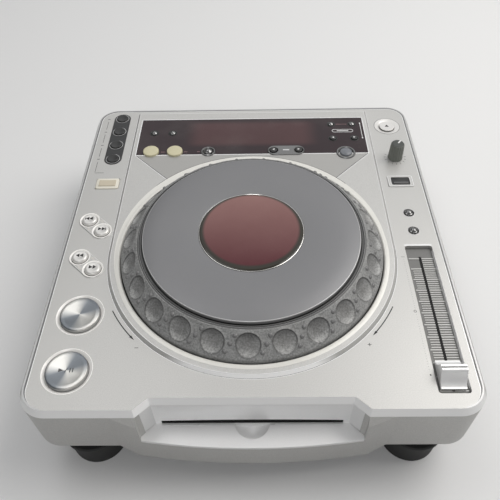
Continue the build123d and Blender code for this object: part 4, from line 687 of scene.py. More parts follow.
def spun_cap(tree, shader, key):
    """Turned metal whose grooves fan the light out from the centre of a key, with bright and dark sectors painted on
    by angle.
    """
    x, y = middle(key)
    grooves = group(tree, spun_group, Centre=(x * MM, y * MM, 0.0), Groove_Scale=3000.0)
    # Painted highlight and shade: bright and bluish dark sectors by angle round the key, standing in for the fan of
    # light from the turned grooves.
    around = node(tree, "UVMap", out=0, uv_map="around").axes()[0]
    turn = around.calc("MULTIPLY_ADD", 4 * math.pi, math.pi / 2)
    painted_fan = blended(tree, turn.calc("COSINE").ranged(-0.7, 0.7), (0.30, 0.33, 0.37, 1.0), (1.0, 1.0, 0.98, 1.0))
    coat(
        shader, shade(0.68, *WARM), 0.32, (1500.0, 0.04), (60.0, 0.04),
        change=lambda tone: blended(tree, 1.0, tone, painted_fan, "MULTIPLY"),
    )
    tangent = node(tree, "Tangent", out=0, direction_type="UV_MAP", uv_map="around")
    normal = bumped(tree, grooves("Height"), 0.06)
    feed(shader, {"Normal": normal, "Metallic": 1.0, "Anisotropic": 0.85, "Tangent": tangent})


RECIPES = {
    "smoked_window": [smoked_window],
    "smoked_lens": [smoked_lens],
    "grip_rubber": [grip_rubber],
    "grey_aluminium": [grey_aluminium],
    "spun_cue": [spun_cap, "cue_button"],
    "spun_play": [spun_cap, "play_button"],
}


# ---- settings
def colour_setting(name, description, default):
    return bpy.props.FloatVectorProperty(name=name, description=description, default=default, subtype="COLOR", size=3)


def length_setting(name, description, default):
    return bpy.props.FloatProperty(name=name, description=description, default=default * MM, unit="LENGTH")


class PlayerColours(bpy.types.PropertyGroup):
    """Main colours of the player."""

    case: colour_setting("Case", "Satin silver of the case", (0.54, 0.535, 0.52))
    plate: colour_setting("Touch plate", "Grey of the jog dial's plate", (0.215, 0.215, 0.222))
    grip: colour_setting("Grip", "Grip round the jog dial", (0.275, 0.277, 0.275))
    grip_dimple: colour_setting("Grip dimples", "Worn finger dimples of the grip", (0.215, 0.215, 0.213))
    window: colour_setting("Window", "Smoked window", (0.030, 0.018, 0.021))
    display: colour_setting("Display", "Display behind the window", (0.075, 0.036, 0.038))
    floor: colour_setting("Floor", "Floor under the player", (0.80, 0.80, 0.80))


class PlayerSizes(bpy.types.PropertyGroup):
    """Sizes a user may change."""

    dimples: bpy.props.IntProperty(name="Dimples", description="Finger dimples round the grip", default=24, min=6)
    dimple_radius: length_setting("Dimple radius", "Radius of a finger dimple", 8.6)
    dimple_depth: length_setting("Dimple depth", "Depth of a finger dimple", 2.0)
    dimple_start: bpy.props.FloatProperty(
        name="First dimple", description="Turn of the first dimple round the dial",
        default=math.radians(-91.2), subtype="ANGLE",
    )
    nub_radius: length_setting("Nub radius", "Radius of the nubs between the dimples", 1.9)
    rib_pitch: length_setting("Rib pitch", "Distance between ribs of the tempo scale", 2.024)
    mark_height: length_setting("Mark height", "How far printed marks stand proud", 0.04)


def sizes():
    return bpy.context.scene.player_sizes


# ---- stage
FLOOR_HALF = 5.0


def link_new(name, data):
    """Add an object to the scene."""
    made = bpy.data.objects.new(name, data)
    bpy.context.scene.collection.objects.link(made)
    return made


def area_lamp(name, place, target, size, power, colour=(1.0, 1.0, 1.0)):
    """A soft square lamp that looks at a target."""
    data = bpy.data.lights.new(name, "AREA")
    data.shape, data.size, data.energy, data.color = "SQUARE", size, power, colour
    lamp = link_new(name, data)
    lamp.location = place
    lamp.rotation_euler = (Vector(target) - Vector(place)).to_track_quat("-Z", "Y").to_euler()


def ray_mask(tree, *kinds):
    """One for the rays of some kinds, and nothing for the others."""
    rays = node(tree, "LightPath").outputs
    first, *rest = (Value(rays[f"Is {kind} Ray"]) for kind in kinds)
    for more in rest:
        first = first.calc("MAXIMUM", more)
    return first


class PLAYER_OT_stage(bpy.types.Operator):
    """Floor, light and camera"""

    bl_idname = "player.stage"
    bl_label = "Stage"

    def execute(self, context):
        mesh = bpy.data.meshes.new("floor")
        corners = [(i * FLOOR_HALF, j * FLOOR_HALF, 0.0) for i, j in ((-1, -1), (1, -1), (1, 1), (-1, 1))]
        mesh.from_pydata(corners, [], [(0, 1, 2, 3)])
        floor = link_new("floor", mesh)
        material, tree, shader = start_material("floor_paint")
        # The floor gives back less light than it shows.
        seen = ray_mask(tree, "Camera", "Glossy", "Transmission")
        coat(shader, blended(tree, seen, shade(0.24), colour_of("floor")), 0.7, (300.0, 0.01), (1.0, 0.01))
        mesh.materials.append(material)

        world = bpy.data.worlds.new("studio")
        context.scene.world = world
        world.use_nodes = True
        tree = world.node_tree
        tree.nodes.clear()
        strength = ray_mask(tree, "Camera", "Transmission").ranged(0.0, 1.0, 0.22, 0.9)
        inputs = {"Color": (1.0, 1.0, 1.0, 1.0), "Strength": strength}
        feed(tree.nodes.new("ShaderNodeOutputWorld"), {0: node(tree, "Background", inputs, 0)})

        area_lamp("key_lamp", (0.9, 0.3, 1.25), (0.0, 0.0, 0.08), 1.1, 14.5, (1.0, 0.98, 0.95))
        area_lamp("back_lamp", (0.2, 2.0, 1.7), (0.0, 0.0, 0.08), 2.5, 14.5, (0.97, 0.985, 1.0))
        area_lamp("front_lamp", (-0.1, -1.2, 1.1), (0.0, -0.1, 0.08), 0.5, 4.0)
        area_lamp("left_lamp", (-0.6, 0.4, 1.7), (-0.1, -0.1, 0.08), 0.8, 4.0)

        data = bpy.data.cameras.new("camera")
        data.lens, data.sensor_width = 40.615, 36.0
        camera = link_new("camera", data)
        camera.matrix_world = Matrix(
            (
                (0.99984, 0.00939, 0.01500, 0.00530),
                (0.00275, 0.75498, -0.65574, -0.31581),
                (-0.01748, 0.65568, 0.75484, 0.41998),
                (0.0, 0.0, 0.0, 1.0),
            )
        )
        context.scene.camera = camera
        context.scene.view_settings.view_transform = "Standard"
        return {"FINISHED"}


# ---- case
class PLAYER_OT_case(bpy.types.Operator):
    """Finishes of the case, the drive, the boards and the other CAD pieces"""

    bl_idname = "player.case"
    bl_label = "Case"

    def execute(self, context):
        for name, made in NODES.items():
            made.data.materials[0] = surface(SLOT_OF[name])
        # The key rings get a satin finish; the slot bezel gets the case's silver painted lighter, a painted highlight
        # on its shelf.
        for name, finish in (("key_rings", "satin_ring"), ("slot_bezel", "shelf_silver")):
            NODES[name].data.materials[0] = surface(finish)
        # Two strips of black felt just behind the mouth of the slot, which also serve as painted shade for the dark
        # inside of the slot; the upper one follows its arch.
        mouth_y, shelf_z = FRONT_Y + 8.4, PANEL_Z - 32.6
        half_slot, half_felt, steps = 61.5, 61.4, 32
        front, back = mouth_y + 0.4, mouth_y + 1.1
        form = Form()
        for low, high, arch in ((0.05, 1.6, 0.0), (3.0, 4.55, 1.4)):
            outlines = []
            for k in range(steps + 1):
                x = half_felt * (2 * k / steps - 1)
                foot, top = shelf_z + low, shelf_z + high + arch * (1 - (x / half_slot) ** 2)
                outlines.append([(x, front, foot), (x, back, foot), (x, back, top), (x, front, top)])
            form.loft(outlines)
        piece("slot_felt", form, ["slot_felt"], CASE, "black_plastic")
        # A painted highlight along the shelf's front edge: a bright strip to each side of the finger scoop.
        form = Form()
        for sign in (-1, 1):
            form.raised(rounded(49.4, 1.0, 0.3, (sign * 36.9, mouth_y - 0.65)), shelf_z, 0.14, sink=0.4)
        trim("shelf_lip", form, ["bright_edge"])
        NODES["loop_key_bezel"].data.materials[0] = surface("loop_bezel")
        return {"FINISHED"}


def platform_outline(growth):
    """Foot of the raised platform: a straight strip with a round front."""
    side, back = PLATFORM_R + growth, FRONT_Y + 316.0 + growth
    return [(side, back), (-side, back)] + arc(side, 180.0, 360.0, 96, JOG)


class PLAYER_OT_well(bpy.types.Operator):
    """Bright lip round the jog well"""

    bl_idname = "player.well"
    bl_label = "Well lip"

    def execute(self, context):
        form = Form().ring(
            JOG, WELL_R, PLATFORM_Z,
            (-0.10, -2.0), (0.02, -2.0), (0.02, -1.2), (1.8, -0.05), (4.0, -0.05), (4.0, 0.05), (3.8, 0.12),
            (1.95, 0.16), (1.88, 0.10), (1.80, 0.16), (1.05, 0.16), (0.98, 0.06), (0.88, 0.10), (0.35, -0.45),
            (-0.10, -1.1), segments=256,
        )
        trim("well_lip", form, ["well_lip"], sharp=32.0)
        return {"FINISHED"}


class PLAYER_OT_seams(bpy.types.Operator):
    """Seams round the platform, painted highlights along its edges, and the inlay behind the jog dial"""

    bl_idname = "player.seams"
    bl_label = "Seams and inlay"

    def execute(self, context):
        # A soft seam at the platform's foot, and painted highlights along its top edge and just outside its foot.
        form = Form()
        for inner, outer, level, height, finish in (
            (-0.15, 0.25, PANEL_Z, 0.06, 0), (-2.25, -1.9, PLATFORM_Z, 0.05, 1), (0.25, 0.6, PANEL_Z, 0.04, 1)
        ):
            form.band(platform_outline, inner, outer, level - 0.3, level + height, finish)
        trim("platform_seam", form, ["soft_seam", "bright_edge"])

        # The inlay fills what lies between the window and the well.
        edge_y, side = WINDOW_LOW.y - 0.5, WINDOW_HIGH.x - 0.6
        corner_x, corner_y = 74.4, 81.5
        corner = math.degrees(math.atan2(corner_y, corner_x))
        well = arc(WELL_R + 2.6, corner, 180.0 - corner, 48, JOG)
        form = Form().raised([(side, edge_y)] + well + [(-side, edge_y)], PLATFORM_Z, 0.03)
        # Each seam from a window corner to the well has a painted highlight line beside it.
        for sign, end in ((-1, well[-1]), (1, well[0])):
            line = bar((sign * side, edge_y), end, 0.55)
            form.raised(line, PLATFORM_Z, 0.06, 1)
            form.raised([(x + sign * 0.42, y - 0.36) for x, y in line], PLATFORM_Z, 0.045, 2)
        # Behind the dial a painted highlight widens the well's lip into a bright crescent, between two
        # circles: the lip's own, and a wider one that lies further back.
        inner, outer = WELL_R + 3.8, WELL_R + 4.4
        centre = (JOG[0] - 0.8, WINDOW_LOW.y - 3.2 - outer)
        off_x, off_y = centre[0] - JOG[0], centre[1] - JOG[1]
        apart, lean = math.hypot(off_x, off_y), math.degrees(math.atan2(off_y, off_x))
        near = math.acos((inner**2 + apart**2 - outer**2) / (2 * inner * apart))
        far = math.degrees(math.atan2(inner * math.sin(near), inner * math.cos(near) - apart))
        near = math.degrees(near) - 0.2
        crescent = arc(outer, lean - far, lean + far, 96, centre) + arc(inner, lean + near, lean - near, 96, JOG)
        form.raised(crescent, PLATFORM_Z, 0.10, 3)
        form.raised(arc_bar(centre, outer + 0.3, 0.35, 40.0, 140.0, 64), PLATFORM_Z, 0.06, 1)
        trim("platform_inlay", form, ["inlay", "seam", "bright_edge", "well_lip"])
        return {"FINISHED"}


# ---- jog dial
# The one socket that goes through every geometry tree, as new_tree() wants it.
GEOMETRY = {"Geometry": "Geometry"}


def finished(tree, geometry, given, end):
    """End a geometry tree: realize what it made and set its material."""
    real = node(tree, "GeometryNodeRealizeInstances", {0: geometry}, 0)
    feed(end, {0: node(tree, "GeometryNodeSetMaterial", {"Geometry": real, "Material": given("Finish")}, 0)})
    return tree


def grip_tree():
    """Geometry nodes that press finger dimples with raised rims into the grip's cone."""
    floats = ("Count", "Start", "Radius", "Depth", "Rim Height", "Centre Radius", "Centre Height", "Jog Y")
    inputs = {**GEOMETRY, **dict.fromkeys(floats, "Float"), "Finish": "Material"}
    tree, given, end = new_tree("GeometryNodeTree", "finger_dimples", inputs, GEOMETRY)
    x, y, z = node(tree, "GeometryNodeInputPosition", out=0).axes()
    y = y - given("Jog Y")
    half = 2 * math.pi / given("Count") * 0.5
    local = (y.calc("ARCTAN2", x) - given("Start")).calc("WRAP", half, half * -1.0)
    radius = (x * x + y * y).calc("SQRT")
    across = local * radius
    out, up = radius - given("Centre Radius"), z - given("Centre Height")
    slant = (out * out + up * up).calc("SQRT")
    share = (across * across + slant * slant).calc("SQRT") / given("Radius")
    on_slope = node(tree, "GeometryNodeInputNamedAttribute", {"Name": "slope"}, 0, data_type="FLOAT")

    def bell(peak, width):
        """One where the share is at the peak, and soon nothing on both sides of it."""
        off = (share - peak) / width
        return calc(tree, "POWER", 2.718, off * off * -1.0)

    inside = (1.0 - share * share).calc("MAXIMUM", 0.0)
    lift = (inside * given("Depth") * -1.0 + bell(1.02, 0.055) * given("Rim Height")) * on_slope
    normal = node(tree, "GeometryNodeInputNormal", out=0)
    shift = node(tree, "VectorMath", {0: normal, "Scale": lift}, 0, operation="SCALE")
    # Which side of the dimple a point lies on: the grip's material paints a highlight on the outer side and shade on
    # the inner side.
    fall = slant * out.calc("SIGN") / given("Radius") * share.calc("LESS_THAN", 0.99)
    stored = given("Geometry")
    for name, value in (("dimple", inside), ("dimple_edge", bell(0.965, 0.05)), ("dimple_fall", fall)):
        inputs = {"Geometry": stored, "Name": name, "Value": value * on_slope}
        stored = node(tree, "GeometryNodeStoreNamedAttribute", inputs, 0, data_type="FLOAT", domain="POINT")
    moved = node(tree, "GeometryNodeSetPosition", {"Geometry": stored, "Offset": shift}, 0)
    return finished(tree, moved, given, end)


def nub_tree():
    """Geometry nodes that set rows of small nubs between the dimples."""
    inputs = {"Count": "Int", "Nub Radius": "Float", "Turn": "Float", "Skew": "Float", "Jog Y": "Float"}
    inputs.update({f"{row} {what}": "Float" for row in NUB_ROWS for what in ("Radius", "Height")})
    tree, given, end = new_tree("GeometryNodeTree", "grip_nubs", {**inputs, "Finish": "Material"}, GEOMETRY)
    join = tree.nodes.new("GeometryNodeJoinGeometry")
    for number, row in enumerate(NUB_ROWS):
        inputs = {"Vertices": given("Count"), "Radius": given(row + " Radius")}
        circle = node(tree, "GeometryNodeMeshCircle", inputs, 0)
        at = node(tree, "CombineXYZ", {1: given("Jog Y"), 2: given(row + " Height")}, 0)
        turn = node(tree, "CombineXYZ", {2: given("Turn") + given("Skew") * (1.0 - number)}, 0)
        inputs = {"Geometry": circle, "Translation": at, "Rotation": turn}
        feed(join, {0: node(tree, "GeometryNodeTransform", inputs, 0)})
    nub = node(tree, "GeometryNodeMeshUVSphere", {"Segments": 16, "Rings": 10, "Radius": given("Nub Radius")}, 0)
    inputs = {"Points": Value(join.outputs[0]), "Instance": nub}
    return finished(tree, node(tree, "GeometryNodeInstanceOnPoints", inputs, 0), given, end)


def grown(name, tree, mesh, **inputs):
    """Run a geometry nodes tree on a mesh and return the plain mesh it makes."""
    host = link_new(name + "_host", mesh)
    modifier = host.modifiers.new("tree", "NODES")
    modifier.node_group = tree
    for item in tree.interface.items_tree:
        title = item.name.replace(" ", "_")
        if item.in_out == "INPUT" and title in inputs:
            modifier[item.identifier] = inputs[title]
    depsgraph = bpy.context.evaluated_depsgraph_get()
    depsgraph.update()
    made = bpy.data.meshes.new_from_object(host.evaluated_get(depsgraph))
    made.name = name
    host.modifiers.remove(modifier)
    bpy.data.objects.remove(host)
    return made


def down_slope(share):
    """A place on the grip's slope, from 0 at its top to 1 at its foot."""
    return tuple(a + (b - a) * share for a, b in zip(SLOPE_TOP, SLOPE_FOOT))


class PLAYER_OT_grip(bpy.types.Operator):
    """Dimpled grip round the jog dial"""

    bl_idname = "player.grip"
    bl_label = "Grip"

    def execute(self, context):
        foot, settings = GRIP_LOW.z, sizes()
        rows, around, first = 44, 960, 3
        profile = [(86.35, foot + 16.0), (86.35, SLOPE_TOP[1] - 0.25), (86.5, SLOPE_TOP[1])]
        profile += [down_slope(k / rows) for k in range(rows + 1)]
        profile += [(GRIP_R - 0.05, SLOPE_FOOT[1] - 0.55), (GRIP_R, SLOPE_FOOT[1] - 1.1), (GRIP_R, foot)]
        mesh = Form().lathe(profile + [(GRIP_R - 3.4, foot)], JOG, around, ring=True).mesh("grip_base")
        settle(mesh, weld=False)
        mask = mesh.attributes.new("slope", "FLOAT", "POINT")
        for number in range(len(mesh.vertices)):
            mask.data[number].value = 1.0 if first < number // around < first + rows else 0.0
        mid = [value * MM for value in down_slope(0.5)]
        made = grown(
            "finger_grip", grip_tree(), mesh, Count=float(settings.dimples), Start=settings.dimple_start,
            Radius=settings.dimple_radius, Depth=settings.dimple_depth, Rim_Height=0.38 * MM,
            Centre_Radius=mid[0], Centre_Height=mid[1], Jog_Y=JOG_SPOT[1], Finish=surface("grip_rubber"),
        )
        dress("finger_grip", made, ["grip_rubber"], "jog", "grip_rubber", ["jog_grip"], 50.0)
        places = {}
        for row, share in NUB_ROWS.items():
            for what, value in zip(("Radius", "Height"), down_slope(share)):
                places[f"{row}_{what}"] = (value - 0.25 * settings.nub_radius / MM) * MM
        made = grown(
            "grip_nubs", nub_tree(), bpy.data.meshes.new("nub_base"), Count=settings.dimples,
            Nub_Radius=settings.nub_radius, Turn=settings.dimple_start + math.pi / settings.dimples,
            Skew=math.radians(1.9), Jog_Y=JOG_SPOT[1], Finish=surface("nub_rubber"), **places,
        )
        dress("grip_nubs", made, ["nub_rubber"], "jog", "grip_rubber", (), 60.0)

        # Thin bright rim between the grip and the touch plate, on a dark ledge.
        top = GRIP_HIGH.z + 0.3
        profile = [(PLATE_R + 1.0, top - 2.2)]
        profile += offsets(RIM_R, top, (0.9, -2.2), (0.9, -0.55), (0.05, -0.35), (-0.05, 0.0))
        profile += offsets(RIM_R, top, (-0.4, 0.0), (-0.5, -0.35))
        profile += offsets(PLATE_R, top, (1.25, -0.45), (1.0, -0.7))
        form = Form().lathe(profile, JOG, 256, ring=True, finish=[0, 0, 0, 1, 1, 1, 0, 0, 0])
        piece("dial_rim", form, ["grip_ledge", "rim_metal"], "jog", "black_plastic", (), 35.0)
        return {"FINISHED"}


class PLAYER_OT_touch_plate(bpy.types.Operator):
    """Touch plate and lens in the middle of the jog dial"""

    bl_idname = "player.touch_plate"
    bl_label = "Touch plate"

    def execute(self, context):
        top, foot = PLATE_HIGH.z, PLATE_LOW.z
        profile = [(LENS_R + 0.15, top - 1.75), (PLATE_R - 1.9, top - 1.75), (PLATE_R - 1.9, foot), (PLATE_R, foot)]
        profile += offsets(PLATE_R, top, (0.0, -0.55), (-0.08, -0.28), (-0.25, -0.08), (-0.5, 0.0), (-14.0, 0.0))
        profile += offsets(LENS_R, top, (0.75, 0.0), (0.45, -0.08), (0.15, -0.4))
        form = Form().lathe(profile, JOG, 256, ring=True, finish=[0, 0, 0, 2, 1, 1, 1, 0, 0, 0, 0, 0])
        # The plate's rounded edge is a painted highlight, and its outer wall is painted lighter than its top to
        # lighten the shade there.
        finishes = ["grey_aluminium", "plate_edge", "plate_wall"]
        piece("touch_plate", form, finishes, "jog_top", "grey_aluminium", ["jog_plate"], 40.0)
        profile = [(0.0, top - 2.9)]
        profile += offsets(LENS_R, top, (2.2, -2.9), (2.2, -1.85), (-0.55, -1.85))
        profile += offsets(LENS_R, top, (-0.55, -0.05), (-0.9, 0.10), (-3.0, 0.16))
        profile += [(LENS_R * 0.6, top + 0.24), (LENS_R * 0.3, top + 0.28), (0.0, top + 0.30)]
        form = Form().lathe(profile, JOG, 192)
        piece("dial_lens", form, ["smoked_lens"], "jog_top", "smoked_lens", ["jog_lens"], 40.0)
        form = Form().ring(
            JOG, LENS_R, top, (-0.5, -1.7), (0.1, -1.7), (0.1, 0.02), (-0.1, 0.18), (-0.35, 0.18), (-0.5, 0.02),
            segments=192,
        )
        piece("lens_ring", form, ["bright_trim"], "jog_top", "bright_trim", (), 40.0)
        return {"FINISHED"}


# ---- keys
def key_radius(name):
    """Radius of a round key's cap, without its flange."""
    low, high = box(name)
    return (high.x - low.x) / 2 - KEY_FLANGE


def key_profile(radius, top, bevel, crown):
    """Profile of a round key: flat foot, rounded bevel and a crown; a negative crown is a dish."""
    profile = [(0.0, KEY_FOOT), (radius, KEY_FOOT), (radius, top - bevel)]
    for k in (1, 2, 3):
        angle = math.pi / 2 * k / 3
        profile.append((radius - bevel * (1 - math.cos(angle)), top - bevel * (1 - math.sin(angle))))
    for k in range(1, 7):
        share = 1 - k / 6
        profile.append(((radius - bevel) * share, top + crown * (1 - share * share)))
    return profile


def round_key(name, finish, bevel, crown=0.0, segments=72, extra=None, wall=None, mark="black_print"):
    """Replace a round CAD key by a finished one on the same body."""
    top = box(name)[1].z
    place = middle(name)
    profile = key_profile(key_radius(name), top, bevel, crown)
    strips = [2 if wall and level < 2 else 0 for level in range(len(profile) - 1)]
    form = Form().lathe(profile, place, segments, finish=strips)
    if extra:
        extra(form, place, top + crown)
    body = BODY_OF[name]
    piece(body + "_cap", form, [finish, mark, wall or finish], body, SLOT_OF[name], [name])


def icon(form, outline, z, lift=0.12):
    form.raised(outline, z, lift, 1, sink=0.25)


def seek_icon(direction, stop):
    """Double triangle, with a bar at its tip on the track keys."""

    def draw(form, place, z):
        x, y = place[0], place[1] + 0.8
        for k in (-1, 1):
            icon(form, triangle((x + k * 1.5, y), 2.6, 3.2, 0.0 if direction > 0 else 180.0), z, 0.32)
        if stop:
            icon(form, dash(x + direction * 3.2, y, 1.6, 0.6, upright=True), z, 0.32)

    return draw


def play_icon(form, place, z):
    """Triangle, slash and two bars."""
    x, y = place
    icon(form, triangle((x - 3.7, y), 3.2, 3.0), z, 0.14)
    icon(form, bar((x - 1.1, y - 1.8), (x + 0.5, y + 1.8), 0.4), z, 0.14)
    for k in (2.5, 4.3):
        icon(form, dash(x + k, y, 1.6, 0.8, upright=True), z, 0.14)


def eject_icon(form, place, z):
    """Triangle."""
    icon(form, triangle((place[0], place[1] + 0.7), 3.0, 3.9, 90.0), z)


def arrow_icon(degrees):
    """A small triangle that points one way."""
    return lambda form, place, z: icon(form, triangle(place, 1.9, 2.3, degrees), z, 0.06)


def arrow_keys(pair, segments):
    """Two small dark keys that point back and forward."""
    for way, degrees in (("back", 180.0), ("forward", 0.0)):
        arrow = arrow_icon(degrees)
        round_key(f"{pair}_{way}_button", "dark_key", 0.5, 0.2, segments, arrow, mark="white_print")


class PLAYER_OT_keys(bpy.types.Operator):
    """Round keys of the panel"""

    bl_idname = "player.keys"
    bl_label = "Keys"

    def execute(self, context):
        round_key("cue_button", "spun_cue", 0.9, -0.7, 128, wall="key_wall")
        round_key("play_button", "spun_play", 0.9, -0.7, 128, play_icon, "key_wall", "key_print")
        for pair, stop in (("track", True), ("search", False)):
            for way, direction in (("back", -1), ("forward", 1)):
                extra = seek_icon(direction, stop)
                round_key(f"{pair}_{way}_button", "silver_key", 2.0, -0.45, extra=extra, wall="pair_wall")
        round_key("eject_button", "silver_key", 0.5, -0.3, extra=eject_icon, wall="pair_wall")
        for name, finish, bevel, crown in (
            ("loop_in", "cream_key", 0.8, 0.35), ("loop_out", "cream_key", 0.8, 0.35),
            ("tempo_range", "gloss_key", 0.9, 1.3), ("master_tempo", "gloss_key", 0.9, 1.3),
            ("quick_return", "slate_key", 1.2, 0.8), ("reloop", "gloss_key", 0.9, 1.3),
        ):
            round_key(name + "_button", finish, bevel, crown)
        arrow_keys("folder", 72)
        for name in ("time", "text", "delete", "memory"):
            round_key(name + "_button", "gloss_key", 0.8, 0.9, 40)
        arrow_keys("call", 40)
        for number in range(1, 5):
            round_key(f"loop_button_{number}", "dark_key", 0.7, -0.5)
        return {"FINISHED"}


class PLAYER_OT_oblong_keys(bpy.types.Operator):
    """Stepped reverse key and the jog mode key in its frame"""

    bl_idname = "player.oblong_keys"
    bl_label = "Oblong keys"

    def execute(self, context):
        for name, finishes, corner, step in (
            ("reverse_button", ["ivory_key", "peach_key"], 2.2, 0.7),
            ("jog_mode_button", ["dark_key", "satin_ring"], 1.0, 0.0),
        ):
            low, high = box(name)
            width, length = high.x - low.x - 2 * KEY_FLANGE, high.y - low.y - 2 * KEY_FLANGE
            plan = growing(width, length, corner, middle(name))
            top = high.z - step
            profile = [(0.0, KEY_FOOT), (0.0, top - 0.6), (-0.2, top - 0.2), (-0.6, top)]
            form = Form().loft(stacked(plan, profile))
            if step:
                pad = offsets(0.0, top, (-2.7, -0.1), (-2.9, step - 0.25), (-3.1, step - 0.05), (-3.4, step))
                form.loft(stacked(plan, pad), finish=1)
            else:
                line_y = low.y + KEY_FLANGE + 2.0
                form.raised(dash(middle(name)[0], line_y, width / 2 - 1.6, 0.9), top, 0.12, 1)
            body = BODY_OF[name]
            piece(body + "_cap", form, finishes, body, SLOT_OF[name], [name])
        return {"FINISHED"}


def collar(form, place, outer, inner, top, depth, finish=0):
    """A bright liner on the cone round a key, and a fine line outside it."""
    line = offsets(outer, top, (0.0, -0.3), (0.45, -0.3), (0.45, 0.03), (0.35, 0.12), (0.05, 0.12))
    profile = [(inner, top - depth - 0.3), *line, (inner, top - depth + 0.22)]
    form.lathe(profile, place, 96, ring=True, finish=finish)


class PLAYER_OT_trims(bpy.types.Operator):
    """Rim of the window with a painted highlight, collars and dark surrounds of the keys"""

    bl_idname = "player.trims"
    bl_label = "Trims"

    def execute(self, context):
        # A raised rim round the window, finished as a painted highlight.
        width, length = WINDOW_HIGH.x - WINDOW_LOW.x, WINDOW_HIGH.y - WINDOW_LOW.y
        plan = growing(width, length, 1.0, middle("display_window"))
        profile = offsets(
            0.0, PLATFORM_Z, (-0.35, -0.3), (0.5, -0.3), (0.55, 0.02), (0.4, 0.10), (-0.15, 0.10), (-0.35, 0.0)
        )
        trim("window_rim", Form().loft(stacked(plan, profile), ring=True), ["bright_edge"], "bright_trim")

        form = Form()
        for name in ("cue_button", "play_button"):
            collar(form, middle(name), 16.8, 14.6, PANEL_Z, 2.0)
        for name in ("track_back", "track_forward", "search_back", "search_forward"):
            collar(form, middle(name + "_button"), 7.7, 6.6, PANEL_Z + 0.7, 0.9)
        spot = middle("eject_button")
        collar(form, spot, 11.4, 7.4, PANEL_Z, 1.4, 1)
        form.ring(spot, 11.9, PANEL_Z, (0.0, -0.2), (0.4, -0.2), (0.4, 0.05), (0.0, 0.05), finish=2)
        trim("key_collars", form, ["key_collar", "eject_bowl", "soft_seam"])

        # Raised plates that join the paired keys, with a painted highlight along their edge.
        form = Form()
        foot, plate_r, fill_at = PANEL_Z + 0.4, 8.7, 5.4
        for pair in ("track", "search"):
            first, second = (Vector(middle(f"{pair}_{way}_button")) for way in ("back", "forward"))
            run = second - first
            turn = math.degrees(math.atan2(run.y, run.x))

            def plate_plan(growth, first=first, second=second, turn=turn):
                ends = ((turn + 90.0, turn + 270.0, first), (turn - 90.0, turn + 90.0, second))
                return [spot for a, b, centre in ends for spot in arc(plate_r + growth, a, b, 24, centre)]

            form.band(plate_plan, -0.95, -0.72, foot, PANEL_Z + 0.75)
            side, ahead = Vector((-run.y, run.x)).normalized(), run.normalized() * 3.6
            for sign in (-1, 1):
                centre = (first + second) / 2 + sign * side * fill_at
                fill = [centre + side * (sign * 2.4), centre + ahead, centre - ahead]
                form.prism([tuple(c) for c in fill], foot, PANEL_Z + 0.73, 2)
        trim("pair_edges", form, ["bright_edge", "bright_edge", "pair_plate"])

        # Painted highlights along the outer and inner edge of the jog mode key's frame.
        plan = growing(22.6, 14.4, 2.0, middle("jog_mode_button"))
        form = Form().band(plan, -1.1, -0.6, PANEL_Z + 0.5, PANEL_Z + 0.85)
        form.band(plan, -3.2, -2.85, PANEL_Z + 0.5, PANEL_Z + 0.84)
        trim("jog_mode_frame", form, ["bright_edge"])

        # A dark ring round each small key; some have a light line in or round it.
        form = Form()
        for name in ("tempo_range_button", "master_tempo_button"):
            ring = ((0.3, -0.8), (0.8, -0.2), (0.8, 0.10), (0.65, 0.2), (0.45, 0.2), (0.3, 0.05))
            line = ((0.8, -0.2), (1.15, -0.2), (1.15, 0.05), (0.8, 0.08))
            for finish, profile in enumerate((ring, line)):
                form.ring(middle(name), key_radius(name), PANEL_Z, *profile, segments=64, finish=finish)
        for name in ("time", "text", "delete", "memory", "call_back", "call_forward"):
            form.ring(
                middle(name + "_button"), key_radius(name + "_button"), WINDOW_HIGH.z,
                (0.3, -0.3), (1.3, -0.3), (1.3, 0.12), (1.05, 0.22), (0.5, 0.22), (0.3, 0.08), segments=40,
            )
        for number in range(1, 5):
            form.ring(
                middle(f"loop_button_{number}"), 5.95, box("loop_key_bezel")[1].z,
                (0.0, -0.2), (0.4, -0.2), (0.4, 0.10), (0.2, 0.14), (0.0, 0.10), segments=64, finish=1,
            )
        join = dash(31.5, middle("folder_back_button")[1], 2.9, 1.6)
        form.prism(join, PLATFORM_Z + 0.6, PLATFORM_Z + 0.98, 1)
        trim("key_surrounds", form, ["black_plastic", "light_ring"], "black_plastic")

        # Fine dark line round the panel, inside its bevelled edge, with a painted highlight line inside it and a grey
        # strip outside it.
        inset, corner, turn = 2.9, 17.1, 52.0
        edge, front, rear = CASE_HIGH.x - inset, FRONT_Y + inset + corner, FRONT_Y + 325.5 - inset

        def border(growth, turn=82.0, end=None):
            """The panel's outline, which may move to another growth at its two ends."""
            radius = corner + growth
            last = radius if end is None else corner + end
            bend = [(radius + (last - radius) * k / 12, math.radians(turn * k / 12)) for k in range(13)]
            ends = [polar((0.0, 0.0), *reach) for reach in bend]
            side, back = edge + growth - radius, rear + growth - radius
            return (
                [(edge - corner + x, front - y) for x, y in reversed(ends)]
                + arc(radius, 0.0, 90.0, 12, (side, back))
                + arc(radius, 90.0, 180.0, 12, (-side, back))
                + [(corner - edge - x, front - y) for x, y in ends]
            )

        form = Form().raised(border(-1.1, turn) + border(-2.3, turn, -1.15)[::-1], PANEL_Z, 0.04)
        form.raised(border(-2.3, turn, -1.15) + border(-2.8, turn, -1.25)[::-1], PANEL_Z, 0.03, 1)
        form.raised(border(0.0) + border(-1.1)[::-1], PANEL_Z, 0.03, 2)
        trim("panel_border", form, ["soft_seam", "bright_edge", "edge_strip"])
        return {"FINISHED"}


